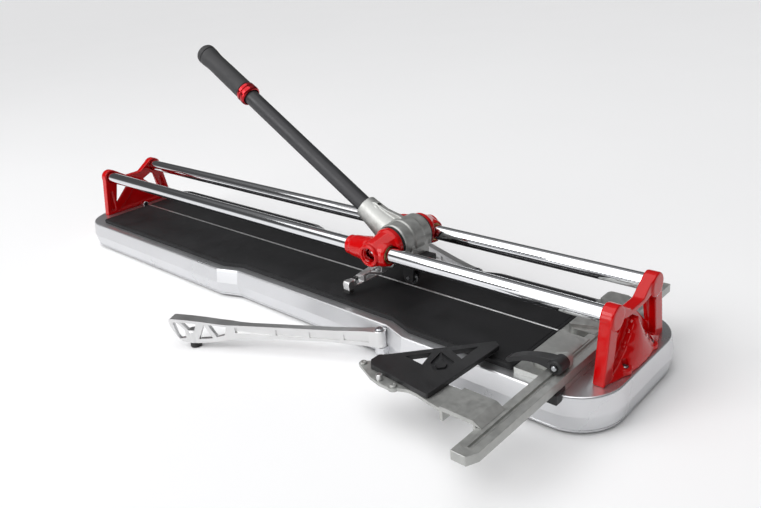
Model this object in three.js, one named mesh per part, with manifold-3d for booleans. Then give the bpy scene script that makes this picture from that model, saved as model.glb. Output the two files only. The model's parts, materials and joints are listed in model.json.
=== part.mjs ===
// Manual tile cutter, 92 cm cutting length: a cast base with two spring pads, two supports that carry
// two guide rods, a sliding carriage with its lever, scoring wheel and breaker, a side fence with an
// angle stop, and two swing-out arms that hold up wide tiles.
//
// Millimetres, +Z up. X runs along the cutting line, towards the fence. -Y is the front.
// Every piece is placed from the cutting line (Y = 0) and from a datum near the middle of the table
// (X = 0), and the last lines move the whole machine so that the origin is the middle of its footprint.

import * as THREE from 'three';
import { mergeVertices } from 'three/addons/utils/BufferGeometryUtils.js';
import Module from 'manifold-3d';

const wasm = await Module();
wasm.setup();

// ---- Driving dimensions -------------------------------------------------------------------------

const GAP = 0.3; // between pieces that touch, slide or turn on each other

// Base casting
const FOOT_HEIGHT = 4;
const FOOT_RADIUS = 12;
const FOOT_STUD_RADIUS = 3;
const FOOT_INSET = 40;
const DECK_HEIGHT = 48;
const BASE_END_MARGIN = 13.5; // base beyond each support
const BASE_HALF_WIDTH = 104;
const BASE_CORNER_RADIUS = 56;
const BASE_WALL = 5;
const BASE_RIDGE = 4; // how far the side walls stand out at half height
const WAIST_DEPTH = 12; // recess that the folded arms lie in
const WAIST_START = -57;
const WAIST_END = 256;
const WAIST_SLOPE = 37; // length of the slanted ends of the waist
const RIB_PITCH = 100;
const RIB_THICKNESS = 4;

// Table
const PAD_THICKNESS = 6;
const PAD_INSET = 7; // from the base's edge
const PAD_LEFT_MARGIN = 30; // from the left support
const PAD_END = 446;
const PAD_BEVEL = 1.2;
const RIB_LINE_WIDTH = 2.4;
const RIB_LINE_RISE = 1; // above the pads

// Rods and supports
const ROD_RADIUS = 10;
const ROD_CLEARANCE = 74; // clear width between the rods
const ROD_HEIGHT = 120;
const ROD_FREE_LENGTH = 1038; // between the supports
const ROD_SEAT = 11;
const RIGHT_SUPPORT_X = 528; // inner face of the right support
const SUPPORT_THICKNESS = 13.5;
const SUPPORT_BOSS_WALL = 4.5; // around a rod
const SUPPORT_BOSS_RISE = 2; // out of the support's face
const SUPPORT_FOOT_HALF_WIDTH = 72;
const SUPPORT_SADDLE_DROP = 9; // saddle between the bosses, below the rods' axis
const SHIELD_DEPTH = 12;
const SHIELD_TOP = 99;
const SUPPORT_SCREW_SPACING = 64;
const MAGNET_RADIUS = 7;

// Carriage
const CARRIAGE_X = 204;
const SLEEVE_LENGTH = 74;
const BUSH_WALL = 2;
const SLEEVE_WALL = 3; // around the bushes
const SLEEVE_SWELL = 3; // how much thicker the sleeve is around its window
const BUSH_LENGTH = 16;
const WINDOW_RADIUS = 11;
const PIVOT_OFFSET = 8; // of the lever's pivot from the carriage's middle, towards the fence
const PIVOT_HEIGHT = 126;
const PIVOT_RADIUS = 6;
const FLANGE_RADIUS = 23;
const HEAD_HALF_WIDTH = 26.5;
const HEAD_RADIUS = 26;
const GASKET_THICKNESS = 3;

// Lever
const LEVER_ANGLE = 31.5; // above the table, in degrees
const LEVER_DROP = 9; // of the tube's axis below the pivot
const SOCKET_REACH = 77;
const SOCKET_WALL = 4.7; // around the tube
const TUBE_RADIUS = 11.8;
const TUBE_END = 440;
const TUBE_SEAT = 32;
const RING_START = 340;
const RING_LENGTH = 17;
const RING_RISE = 1.5; // above the grip
const GRIP_WALL = 3.2;
const GRIP_END = 452;
const CAP_RISE = 1; // above the grip
const CAP_LENGTH = 12;

// Wheel and breaker
const WHEEL_RADIUS = 11;
const WHEEL_WIDTH = 3;
const WHEEL_LIFT = 3; // above the pads
const WHEEL_X = 218;
const AXLE_RADIUS = 2.5;
const SEPARATOR_PIN_X = 192;
const SEPARATOR_PIN_HEIGHT = 86;
const SEPARATOR_PIN_RADIUS = 3;
const SEPARATOR_TIP_X = 163;
const SEPARATOR_TIP_Y = 70;
const PRESS_PAD_THICKNESS = 5;
const PRESS_PAD_LIFT = 4;

// Side fence
const RAIL_X = 499.7; // middle of the rail
const RAIL_WIDTH = 23.5;
const RAIL_THICKNESS = 11;
const RAIL_BOTTOM = 55;
const RAIL_FRONT = -263;
const RAIL_REAR = 162;
const GROOVE_WIDTH = 3.5;
const FENCE_BLOCK_START = 460;
const FENCE_BLOCK_TOP = 71;
const FENCE_LIP = 8; // of the fence blocks over the rail
const LOCK_PIN_RADIUS = 3;

// Angle stop
const STOP_PLATE_BOTTOM = 55.5;
const STOP_PLATE_THICKNESS = 4;
const STOP_RISER_X = 447;
const STOP_TOP = 72;
const STOP_FRONT = -222;
const STOP_DEPTH = 40;
const SQUARE_THICKNESS = 6;
const SQUARE_PIVOT = [332, -188];
const SQUARE_CORNER = [413, -206];
const SQUARE_TIP = [415, -78];

// Swing arms
const ARM_PIVOT_X = 252;
const ARM_PIVOT_OUT = 13.5; // from the waist's wall
const ARM_LENGTH = 304;
const ARM_POST_AT = 272;
const ARM_TOP = 44;
const ARM_HEIGHT = 36;
const ARM_THICKNESS = 16;
const ARM_NECK_HEIGHT = 17.5;
const ARM_NECK_THICKNESS = 10;
const ARM_KNUCKLE_HEIGHT = 23;
const ARM_KNUCKLE_RADIUS = 8;
const ARM_PIN_RADIUS = 3.5;
const FRONT_ARM_OPEN = 26.5; // degrees away from the base
const REAR_ARM_OPEN = 20.5;

// ---- Sizes that follow --------------------------------------------------------------------------

const RAD = Math.PI / 180;
const ROD_Y = ROD_CLEARANCE / 2 + ROD_RADIUS;
const SUPPORT_BOSS_RADIUS = ROD_RADIUS + SUPPORT_BOSS_WALL;
const SLEEVE_RADIUS = ROD_RADIUS + BUSH_WALL + SLEEVE_WALL;
const SLEEVE_SWELL_RADIUS = SLEEVE_RADIUS + SLEEVE_SWELL;
const SOCKET_RADIUS = TUBE_RADIUS + SOCKET_WALL;
const GRIP_RADIUS = TUBE_RADIUS + GRIP_WALL;
const RING_RADIUS = GRIP_RADIUS + RING_RISE;
const CAP_RADIUS = GRIP_RADIUS + CAP_RISE;
const LEFT_SUPPORT_X = RIGHT_SUPPORT_X - ROD_FREE_LENGTH;
const MIDDLE_X = (LEFT_SUPPORT_X + RIGHT_SUPPORT_X) / 2;
const SUPPORT_OUTER = RIGHT_SUPPORT_X + SUPPORT_THICKNESS;
const BASE_RIGHT = SUPPORT_OUTER + BASE_END_MARGIN;
const BASE_LEFT = 2 * MIDDLE_X - BASE_RIGHT;
const PAD_START = LEFT_SUPPORT_X + PAD_LEFT_MARGIN;
const WAIST_HALF_WIDTH = BASE_HALF_WIDTH - WAIST_DEPTH;
const PAD_TOP = DECK_HEIGHT + PAD_THICKNESS;
const PIVOT_X = CARRIAGE_X + PIVOT_OFFSET;
const FLANGE_FACE = HEAD_HALF_WIDTH + GAP + GASKET_THICKNESS + GAP;
const RAIL_INNER = RAIL_X - RAIL_WIDTH / 2;
const RAIL_OUTER = RAIL_X + RAIL_WIDTH / 2;
const RAIL_TOP = RAIL_BOTTOM + RAIL_THICKNESS;
const ARM_PIVOT_Y = WAIST_HALF_WIDTH + ARM_PIVOT_OUT;
const STOP_PLATE_TOP = STOP_PLATE_BOTTOM + STOP_PLATE_THICKNESS;
const WHEEL_HEIGHT = PAD_TOP + WHEEL_LIFT + WHEEL_RADIUS;

// ---- Materials ----------------------------------------------------------------------------------

const material = (color, roughness, metalness) =>
  new THREE.MeshStandardMaterial({ color, roughness, metalness });

const redEnamel = () => material(0xc40a08, 0.3, 0.2);
const silverPaint = () => material(0xc4c6c8, 0.45, 0.5);
const castAluminium = () => material(0xa9aba8, 0.5, 0.8);
const polishedAluminium = () => material(0xd6d8da, 0.3, 0.9);
const chrome = () => material(0xdfe1e4, 0.12, 1);
const steel = () => material(0x8f9194, 0.35, 1);
const bronze = () => material(0xa07a45, 0.45, 0.9);
const rubber = () => material(0x202020, 0.85, 0);
const blackPlastic = () => material(0x2a2a2b, 0.6, 0);
const darkTube = () => material(0x46464a, 0.4, 0.6);
const redAnodised = () => material(0x8c0f14, 0.25, 0.8);

// ---- Solids -------------------------------------------------------------------------------------

/** A closed solid made from a three.js geometry. */
function solid(geometry) {
  const bare = geometry.clone();
  bare.deleteAttribute('normal');
  bare.deleteAttribute('uv');
  const merged = mergeVertices(bare, 1e-4);
  return new wasm.Manifold(new wasm.Mesh({
    numProp: 3,
    vertProperties: new Float32Array(merged.attributes.position.array),
    triVerts: new Uint32Array(merged.index.array),
  }));
}

/** All the solids as one. */
const join = (...solids) => solids.reduce((whole, next) => whole.add(next));

/** The first solid less all the others. */
const cut = (whole, ...tools) => tools.reduce((rest, tool) => rest.subtract(tool), whole);

/** The triangles of a solid. */
function surface(body) {
  const mesh = body.getMesh();
  const positions = [];
  for (let i = 0; i < mesh.vertProperties.length; i += mesh.numProp) {
    positions.push(mesh.vertProperties[i], mesh.vertProperties[i + 1], mesh.vertProperties[i + 2]);
  }
  const geometry = new THREE.BufferGeometry();
  geometry.setAttribute('position', new THREE.Float32BufferAttribute(positions, 3));
  geometry.setIndex(Array.from(mesh.triVerts));
  geometry.computeVertexNormals();
  return geometry;
}

/** A named piece. */
function piece(name, body, finish) {
  const mesh = new THREE.Mesh(surface(body), finish);
  mesh.name = name;
  return mesh;
}

/** A block between two corners. */
function block(x0, x1, y0, y1, z0, z1) {
  const geometry = new THREE.BoxGeometry(x1 - x0, y1 - y0, z1 - z0);
  return solid(geometry.translate((x0 + x1) / 2, (y0 + y1) / 2, (z0 + z1) / 2));
}

/** A round bar or cone from z0 to z1. */
function barZ(x, y, radius, z0, z1, sides = 16, topRadius = radius) {
  const geometry = new THREE.CylinderGeometry(topRadius, radius, z1 - z0, sides);
  return solid(geometry.rotateX(Math.PI / 2).translate(x, y, (z0 + z1) / 2));
}

/** A round bar from y0 to y1. */
function barY(x, z, radius, y0, y1, sides = 20) {
  const geometry = new THREE.CylinderGeometry(radius, radius, y1 - y0, sides);
  return solid(geometry.translate(x, (y0 + y1) / 2, z));
}

/** A round bar or cone from x0 to x1. */
function barX(y, z, radius, x0, x1, sides = 20, farRadius = radius) {
  const geometry = new THREE.CylinderGeometry(radius, farRadius, x1 - x0, sides);
  return solid(geometry.rotateZ(Math.PI / 2).translate((x0 + x1) / 2, y, z));
}

/** A turned body around X from a profile of [x, radius] points that starts and ends on the axis. */
function turnedX(profile, y, z, sides = 20) {
  const points = profile.map(([x, radius]) => new THREE.Vector2(radius, x));
  return solid(new THREE.LatheGeometry(points, sides).rotateZ(-Math.PI / 2).translate(0, y, z));
}

/** A flat shape from [x, y] points. */
const outline = (points) => new THREE.Shape(points.map(([x, y]) => new THREE.Vector2(x, y)));

/** A shape in the XY plane extruded from z0 to z1. */
function plate(shape, z0, z1, bevel = 0) {
  const geometry = new THREE.ExtrudeGeometry(shape, {
    depth: z1 - z0 - 2 * bevel,
    bevelEnabled: bevel > 0,
    bevelThickness: bevel,
    bevelSize: bevel,
    bevelOffset: -bevel,
    bevelSegments: 1,
    curveSegments: 6,
  });
  return solid(geometry.translate(0, 0, z0 + bevel));
}

/** A shape drawn as [y, z] and extruded from x0 to x1. */
function slabX(shape, x0, x1, bevel = 0) {
  return plate(shape, x0, x1, bevel).rotate([90, 0, 0]).rotate([0, 0, 90]);
}

/** A shape drawn as [x, z] and extruded from y0 to y1. */
function slabY(shape, y0, y1, bevel = 0) {
  return plate(shape, -y1, -y0, bevel).rotate([90, 0, 0]);
}

/** The mirror image across the cutting line. */
const mirrored = (body) => body.mirror([0, 1, 0]);

// ---- Base ---------------------------------------------------------------------------------------

/** One long side of the base: [x, y] from the left end to the right end, at a distance inside it. */
function sidePoints(inset) {
  const wide = -(BASE_HALF_WIDTH - inset);
  const narrow = -(WAIST_HALF_WIDTH - inset);
  return [
    [WAIST_START - WAIST_SLOPE, wide],
    [WAIST_START, narrow],
    [WAIST_END, narrow],
    [WAIST_END + WAIST_SLOPE, wide],
  ];
}

/** The outline of the base seen from above, at a distance inside its edge. */
function baseShape(inset) {
  const radius = BASE_CORNER_RADIUS - inset;
  const right = BASE_RIGHT - inset - radius;
  const left = BASE_LEFT + inset + radius;
  const half = BASE_HALF_WIDTH - inset;
  const shape = new THREE.Shape();
  shape.moveTo(left, -half);
  sidePoints(inset).forEach(([x, y]) => shape.lineTo(x, y));
  shape.lineTo(right, -half);
  shape.absarc(right, -half + radius, radius, -Math.PI / 2, 0);
  shape.absarc(right, half - radius, radius, 0, Math.PI / 2);
  sidePoints(inset).reverse().forEach(([x, y]) => shape.lineTo(x, -y));
  shape.absarc(left, half - radius, radius, Math.PI / 2, Math.PI);
  shape.absarc(left, -half + radius, radius, Math.PI, 1.5 * Math.PI);
  return shape;
}

/** The outside of the base, whose walls lean out to a ridge at half height. */
function baseHull() {
  const slope = (DECK_HEIGHT - FOOT_HEIGHT - 2) / 2;
  const geometry = new THREE.ExtrudeGeometry(baseShape(0), {
    depth: 2,
    bevelThickness: slope,
    bevelSize: BASE_RIDGE,
    bevelSegments: 1,
    curveSegments: 6,
  });
  return solid(geometry.translate(0, 0, FOOT_HEIGHT + slope));
}

/** The open cells under the deck, between the ribs. */
function baseCells() {
  const count = Math.round((BASE_RIGHT - BASE_LEFT) / RIB_PITCH);
  const pitch = (BASE_RIGHT - BASE_LEFT) / count;
  const low = FOOT_HEIGHT - 1;
  const high = DECK_HEIGHT - BASE_WALL;
  let cells = null;
  for (let i = 0; i < count; i += 1) {
    const x0 = BASE_LEFT + i * pitch + RIB_THICKNESS / 2;
    const x1 = x0 + pitch - RIB_THICKNESS;
    const rear = block(x0, x1, RIB_THICKNESS / 2, BASE_HALF_WIDTH, low, high);
    const pair = join(rear, mirrored(rear));
    cells = cells ? cells.add(pair) : pair;
  }
  return cells.intersect(plate(baseShape(BASE_WALL), low, high));
}

/** Centres of the four rubber feet. */
function footCentres() {
  const left = BASE_LEFT + FOOT_INSET;
  const right = BASE_RIGHT - FOOT_INSET;
  const y = BASE_HALF_WIDTH - FOOT_INSET;
  return [
    ['foot_front_left', left, -y],
    ['foot_front_right', right, -y],
    ['foot_rear_left', left, y],
    ['foot_rear_right', right, y],
  ];
}

/** The shelf under a swing arm's knuckle, on the front side. */
function armShelf() {
  const top = ARM_TOP - ARM_KNUCKLE_HEIGHT - GAP;
  const reach = ARM_PIVOT_Y + ARM_KNUCKLE_RADIUS;
  const tongue = block(
    ARM_PIVOT_X - ARM_KNUCKLE_RADIUS, ARM_PIVOT_X + ARM_KNUCKLE_RADIUS,
    -ARM_PIVOT_Y, -WAIST_HALF_WIDTH + BASE_WALL, top - 9, top,
  );
  const nose = barZ(ARM_PIVOT_X, -ARM_PIVOT_Y, ARM_KNUCKLE_RADIUS, top - 9, top);
  const hole = barZ(ARM_PIVOT_X, -ARM_PIVOT_Y, ARM_PIN_RADIUS + GAP, top - 10, top + 1);
  return { shelf: join(tongue, nose), hole, reach };
}

function baseCasting() {
  const { shelf, hole } = armShelf();
  let casting = join(cut(baseHull(), baseCells()), shelf, mirrored(shelf));
  footCentres().forEach(([, x, y]) => {
    casting = casting.add(barZ(x, y, FOOT_RADIUS - 2, FOOT_HEIGHT, DECK_HEIGHT - 1));
    casting = casting.subtract(barZ(x, y, FOOT_STUD_RADIUS + GAP, FOOT_HEIGHT - 1, FOOT_HEIGHT + 13));
  });
  return piece('base_casting', cut(casting, hole, mirrored(hole)), silverPaint());
}

function rubberFeet() {
  return footCentres().map(([name, x, y]) => piece(
    name,
    join(
      barZ(x, y, FOOT_RADIUS - 1.5, 0, FOOT_HEIGHT, 24, FOOT_RADIUS),
      barZ(x, y, FOOT_STUD_RADIUS, FOOT_HEIGHT - 0.5, FOOT_HEIGHT + 12),
    ),
    rubber(),
  ));
}

// ---- Table --------------------------------------------------------------------------------------

function pads() {
  const inner = -(RIB_LINE_WIDTH / 2 + GAP);
  const outer = -(BASE_HALF_WIDTH - PAD_INSET);
  const corner = 6;
  const shape = outline([
    [PAD_START, inner],
    [PAD_START, outer + corner],
    [PAD_START + corner, outer],
    ...sidePoints(PAD_INSET),
    [PAD_END - corner, outer],
    [PAD_END, outer + corner],
    [PAD_END, inner],
  ]);
  const front = plate(shape, DECK_HEIGHT, PAD_TOP, PAD_BEVEL);
  return [piece('front_pad', front, rubber()), piece('rear_pad', mirrored(front), rubber())];
}

function breakingRib() {
  const half = RIB_LINE_WIDTH / 2;
  const body = block(PAD_START, PAD_END, -half, half, DECK_HEIGHT, PAD_TOP + RIB_LINE_RISE);
  return piece('breaking_rib', body, polishedAluminium());
}

// ---- Rods and supports --------------------------------------------------------------------------

/** The face of a support as [y, z]: two bosses on splayed legs with a saddle between them. */
function supportShape() {
  const radius = SUPPORT_BOSS_RADIUS;
  const foot = SUPPORT_FOOT_HALF_WIDTH;
  const saddle = ROD_HEIGHT - SUPPORT_SADDLE_DROP;
  const lean = 10 * RAD;
  const shape = new THREE.Shape();
  shape.moveTo(-foot, DECK_HEIGHT);
  shape.lineTo(foot, DECK_HEIGHT);
  shape.absarc(ROD_Y, ROD_HEIGHT, radius, -lean, 135 * RAD);
  shape.lineTo(9, saddle);
  shape.lineTo(-9, saddle);
  shape.absarc(-ROD_Y, ROD_HEIGHT, radius, 45 * RAD, 180 * RAD + lean);
  return shape;
}

/** The rear triangular window of a support as [y, z]. */
const supportWindow = () => outline([[24, 94], [48, 101], [59, 62]]);

/** The shield on the outside of a support as [y, z]: its curved edges run down to both feet. */
function shieldShape() {
  const low = DECK_HEIGHT;
  const edge = SUPPORT_FOOT_HALF_WIDTH - 4;
  const shape = new THREE.Shape();
  shape.moveTo(-edge, low);
  shape.lineTo(edge, low);
  shape.quadraticCurveTo(24, low + 12, 5, SHIELD_TOP);
  shape.lineTo(-5, SHIELD_TOP);
  shape.quadraticCurveTo(-24, low + 12, -edge, low);
  return shape;
}

/** The shield: its face leans out from its top to its foot, which bulges between the two legs. */
function shieldBody() {
  const deep = SUPPORT_OUTER + SHIELD_DEPTH;
  const root = SUPPORT_OUTER - SUPPORT_THICKNESS / 2;
  const edge = SUPPORT_FOOT_HALF_WIDTH - 4;
  const slope = outline([
    [root, DECK_HEIGHT - 1], [deep, DECK_HEIGHT - 1], [deep - 2, DECK_HEIGHT + 10],
    [SUPPORT_OUTER, SHIELD_TOP + 1], [root, SHIELD_TOP + 1],
  ]);
  const plan = new THREE.Shape();
  plan.moveTo(root, -edge);
  plan.lineTo(SUPPORT_OUTER, -edge);
  plan.bezierCurveTo(deep - 2, -30, deep, -20, deep, 0);
  plan.bezierCurveTo(deep, 20, deep - 2, 30, SUPPORT_OUTER, edge);
  plan.lineTo(root, edge);
  return slabX(shieldShape(), root, deep)
    .intersect(slabY(slope, -edge, edge))
    .intersect(plate(plan, DECK_HEIGHT, SHIELD_TOP));
}

/** The right support; the left one is its mirror image. */
function supportBody() {
  const inner = RIGHT_SUPPORT_X;
  const face = slabX(supportShape(), inner, SUPPORT_OUTER, 2);
  const window = slabX(supportWindow(), inner - 1, SUPPORT_OUTER + 1);
  const hollow = slabX(
    outline([[-60, DECK_HEIGHT + 6], [-50, 100], [-12, 104], [12, 104], [50, 100], [60, DECK_HEIGHT + 6]]),
    SUPPORT_OUTER - SUPPORT_THICKNESS / 2, SUPPORT_OUTER + 1,
  );
  const bosses = [-1, 1].map((side) => barX(
    side * ROD_Y, ROD_HEIGHT, SUPPORT_BOSS_RADIUS - 1, inner + 4, SUPPORT_OUTER + SUPPORT_BOSS_RISE,
  ));
  const bores = [-1, 1].map((side) => barX(
    side * ROD_Y, ROD_HEIGHT, ROD_RADIUS + GAP, inner - 1, inner + ROD_SEAT + GAP,
  ));
  const whole = join(cut(face, hollow), ...bosses, shieldBody());
  const body = cut(whole, window, mirrored(window), ...bores);
  const screwHoles = supportScrewCentres().map(([x, y]) => (
    barZ(x, y, 3.5 + GAP, DECK_HEIGHT - 1, DECK_HEIGHT + 20)
  ));
  const lugs = supportScrewCentres().map(([x, y]) => barZ(x, y, 8, DECK_HEIGHT, DECK_HEIGHT + 7));
  return cut(join(body, ...lugs), ...screwHoles);
}

/** Centres of the screws that hold the right support. */
const supportScrewCentres = () => [-1, 1].map((side) => (
  [SUPPORT_OUTER + 3, (side * SUPPORT_SCREW_SPACING) / 2]
));

/** The same piece at the other end of the machine. */
const atLeftEnd = (body) => body.mirror([1, 0, 0]).translate([2 * MIDDLE_X, 0, 0]);

/** The screws that hold the right support, sunk in its lugs, or their copies at the left end. */
function supportScrews(name, place) {
  return supportScrewCentres().map(([x, y], index) => {
    const head = barZ(x, y, 3.5, DECK_HEIGHT + 3, DECK_HEIGHT + 9, 6);
    const shank = barZ(x, y, 3.2, DECK_HEIGHT, DECK_HEIGHT + 3.5);
    return piece(`${name}_screw_${index ? 'rear' : 'front'}`, place(join(head, shank)), steel());
  });
}

function supports() {
  const right = supportBody();
  return [
    piece('right_support', right, redEnamel()),
    piece('left_support', atLeftEnd(right), redEnamel()),
    ...supportScrews('right_support', (body) => body),
    ...supportScrews('left_support', atLeftEnd),
  ];
}

function guideRods() {
  const left = LEFT_SUPPORT_X - ROD_SEAT;
  const right = RIGHT_SUPPORT_X + ROD_SEAT;
  const rear = turnedX(
    [[left, 0], [left, ROD_RADIUS - 1], [left + 1, ROD_RADIUS], [right - 1, ROD_RADIUS],
      [right, ROD_RADIUS - 1], [right, 0]],
    ROD_Y, ROD_HEIGHT, 32,
  );
  return [
    piece('front_guide_rod', mirrored(rear), chrome()),
    piece('rear_guide_rod', rear, chrome()),
  ];
}

/** The magnet that parks the carriage at the far end. */
function parkingMagnet() {
  const x = (PAD_START + LEFT_SUPPORT_X) / 2;
  const cup = barZ(x, 0, MAGNET_RADIUS, DECK_HEIGHT, DECK_HEIGHT + 11, 24, MAGNET_RADIUS - 1);
  return piece('parking_magnet', cup, chrome());
}

// ---- Carriage -----------------------------------------------------------------------------------

/** The rear slider; the front one is its mirror image. */
function sliderBody() {
  const x0 = CARRIAGE_X - SLEEVE_LENGTH * 0.68;
  const x1 = x0 + SLEEVE_LENGTH;
  const sleeve = turnedX([
    [x0, 0], [x0, SLEEVE_RADIUS - 2], [x0 + 2, SLEEVE_RADIUS], [x0 + 24, SLEEVE_RADIUS + 1],
    [x0 + 36, SLEEVE_SWELL_RADIUS], [x1 - 12, SLEEVE_SWELL_RADIUS], [x1 - 3, SLEEVE_RADIUS + 0.5],
    [x1, SLEEVE_RADIUS - 1], [x1, 0],
  ], ROD_Y, ROD_HEIGHT);
  const nose = barY(CARRIAGE_X, ROD_HEIGHT, WINDOW_RADIUS + 6, ROD_Y, ROD_Y + 20);
  const flange = barY(PIVOT_X, PIVOT_HEIGHT, FLANGE_RADIUS, FLANGE_FACE, ROD_Y - ROD_RADIUS + 4);
  const web = barY(PIVOT_X - 2, PIVOT_HEIGHT - 2, FLANGE_RADIUS - 3, FLANGE_FACE + 4, ROD_Y + 4);
  const bore = barX(ROD_Y, ROD_HEIGHT, ROD_RADIUS + BUSH_WALL + GAP, x0 - 1, x1 + FLANGE_RADIUS);
  const window = barY(CARRIAGE_X, ROD_HEIGHT, WINDOW_RADIUS, ROD_Y, ROD_Y + 21);
  const pivotSeat = barY(PIVOT_X, PIVOT_HEIGHT, PIVOT_RADIUS + GAP, FLANGE_FACE - 1, FLANGE_FACE + 4);
  const room = block(x0 - 1, x1 + FLANGE_RADIUS, 0, FLANGE_FACE, 0, 2 * ROD_HEIGHT);
  return { body: cut(join(sleeve, nose, flange, web), bore, window, pivotSeat, room), x0, x1 };
}

/** The plain bush in one end of the rear slider. */
function bushBody(x0) {
  const outer = barX(ROD_Y, ROD_HEIGHT, ROD_RADIUS + BUSH_WALL, x0, x0 + BUSH_LENGTH);
  return cut(outer, barX(ROD_Y, ROD_HEIGHT, ROD_RADIUS + GAP, x0 - 1, x0 + BUSH_LENGTH + 1));
}

/** The dust ring between the rear slider and the lever's head. */
function gasketBody() {
  const near = HEAD_HALF_WIDTH + GAP;
  const ring = barY(PIVOT_X, PIVOT_HEIGHT, FLANGE_RADIUS + 1, near, near + GASKET_THICKNESS, 32);
  return cut(ring, barY(PIVOT_X, PIVOT_HEIGHT, PIVOT_RADIUS + 4, near - 1, near + GASKET_THICKNESS + 1));
}

function carriage() {
  const { body, x0, x1 } = sliderBody();
  const left = bushBody(x0 + 1);
  const right = bushBody(x1 - 1 - BUSH_LENGTH);
  const gasket = gasketBody();
  const half = FLANGE_FACE + 3.5;
  return [
    piece('front_slider', mirrored(body), redEnamel()),
    piece('rear_slider', body, redEnamel()),
    piece('front_left_bush', mirrored(left), bronze()),
    piece('front_right_bush', mirrored(right), bronze()),
    piece('rear_left_bush', left, bronze()),
    piece('rear_right_bush', right, bronze()),
    piece('front_dust_ring', mirrored(gasket), rubber()),
    piece('rear_dust_ring', gasket, rubber()),
    piece('pivot_shaft', barY(PIVOT_X, PIVOT_HEIGHT, PIVOT_RADIUS, -half, half), steel()),
  ];
}

// ---- Lever --------------------------------------------------------------------------------------

/** A body modelled around the pivot with the lever level, put in place at the lever's angle. */
const onLever = (body) => body.rotate([0, LEVER_ANGLE, 0]).translate([PIVOT_X, 0, PIVOT_HEIGHT]);

const HOLDER_TOP = PIVOT_HEIGHT - 28;

function leverHead() {
  const socket = barX(0, -LEVER_DROP, SOCKET_RADIUS, -SOCKET_REACH, -12, 32, SOCKET_RADIUS + 7);
  const spine = slabY(outline([[-62, 6], [-20, 22], [-8, 22], [-8, 0], [-62, 0]]), -4, 4);
  const seat = barX(0, -LEVER_DROP, TUBE_RADIUS + GAP, -SOCKET_REACH - 1, -SOCKET_REACH + TUBE_SEAT + GAP);
  const screwHole = barZ(-SOCKET_REACH + 20, 0, 3 + GAP, -LEVER_DROP, 20);
  const barrel = barY(PIVOT_X, PIVOT_HEIGHT, HEAD_RADIUS, -HEAD_HALF_WIDTH, HEAD_HALF_WIDTH, 40);
  const chin = block(PIVOT_X - 22, PIVOT_X + 26, -14, 14, HOLDER_TOP, PIVOT_HEIGHT);
  const lug = block(
    SEPARATOR_PIN_X - 8, SEPARATOR_PIN_X + 8, -7, 7,
    SEPARATOR_PIN_HEIGHT - 6, PIVOT_HEIGHT - 10,
  );
  const body = join(cut(onLever(join(socket, spine)), onLever(seat), onLever(screwHole)), barrel, chin, lug);
  return piece('lever_head', cut(
    body,
    barY(PIVOT_X, PIVOT_HEIGHT, PIVOT_RADIUS + GAP, -HEAD_HALF_WIDTH - 1, HEAD_HALF_WIDTH + 1),
    barY(SEPARATOR_PIN_X, SEPARATOR_PIN_HEIGHT, SEPARATOR_PIN_RADIUS + GAP, -9, 9),
  ), castAluminium());
}

function leverTube() {
  const start = -SOCKET_REACH + TUBE_SEAT;
  const outer = barX(0, -LEVER_DROP, TUBE_RADIUS, -TUBE_END, start, 32);
  const inner = barX(0, -LEVER_DROP, TUBE_RADIUS - 2, -TUBE_END - 1, start + 1);
  return piece('lever_tube', onLever(cut(outer, inner)), darkTube());
}

function tubeScrew() {
  const screw = barZ(-SOCKET_REACH + 20, 0, 3, -LEVER_DROP + TUBE_RADIUS + GAP, SOCKET_RADIUS - LEVER_DROP - 1);
  return piece('tube_screw', onLever(screw), steel());
}

function grip() {
  const start = RING_START + RING_LENGTH + GAP;
  const profile = [
    [-GRIP_END, 0], [-GRIP_END, GRIP_RADIUS - 1], [-GRIP_END + 1, GRIP_RADIUS],
    [-GRIP_END + 46, GRIP_RADIUS - 0.6], [-start - 4, GRIP_RADIUS], [-start, GRIP_RADIUS - 1], [-start, 0],
  ];
  const bore = barX(0, -LEVER_DROP, TUBE_RADIUS + GAP, -GRIP_END - 1, -start + 1);
  return piece('grip', onLever(cut(turnedX(profile, 0, -LEVER_DROP), bore)), rubber());
}

function gripCap() {
  const from = -GRIP_END - GAP;
  const plug = barX(0, -LEVER_DROP, TUBE_RADIUS - 0.5, from - 1, from + 10);
  const dome = turnedX([
    [from - CAP_LENGTH, 0], [from - CAP_LENGTH, CAP_RADIUS - 5], [from - CAP_LENGTH + 2, CAP_RADIUS - 2],
    [from - CAP_LENGTH + 5, CAP_RADIUS], [from - 1.5, CAP_RADIUS], [from, CAP_RADIUS - 1], [from, 0],
  ], 0, -LEVER_DROP);
  return piece('grip_cap', onLever(join(dome, plug)), rubber());
}

function gripRing() {
  const from = -RING_START - RING_LENGTH;
  const profile = [
    [from, 0], [from, RING_RADIUS - 2], [from + 2, RING_RADIUS], [from + 6, RING_RADIUS],
    [from + 8, RING_RADIUS - 2.5], [from + 10, RING_RADIUS - 1], [from + 15, RING_RADIUS - 1],
    [-RING_START, RING_RADIUS - 3], [-RING_START, 0],
  ];
  const bore = barX(0, -LEVER_DROP, TUBE_RADIUS + GAP, from - 1, -RING_START + 1);
  return piece('grip_ring', onLever(cut(turnedX(profile, 0, -LEVER_DROP), bore)), redAnodised());
}

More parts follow.
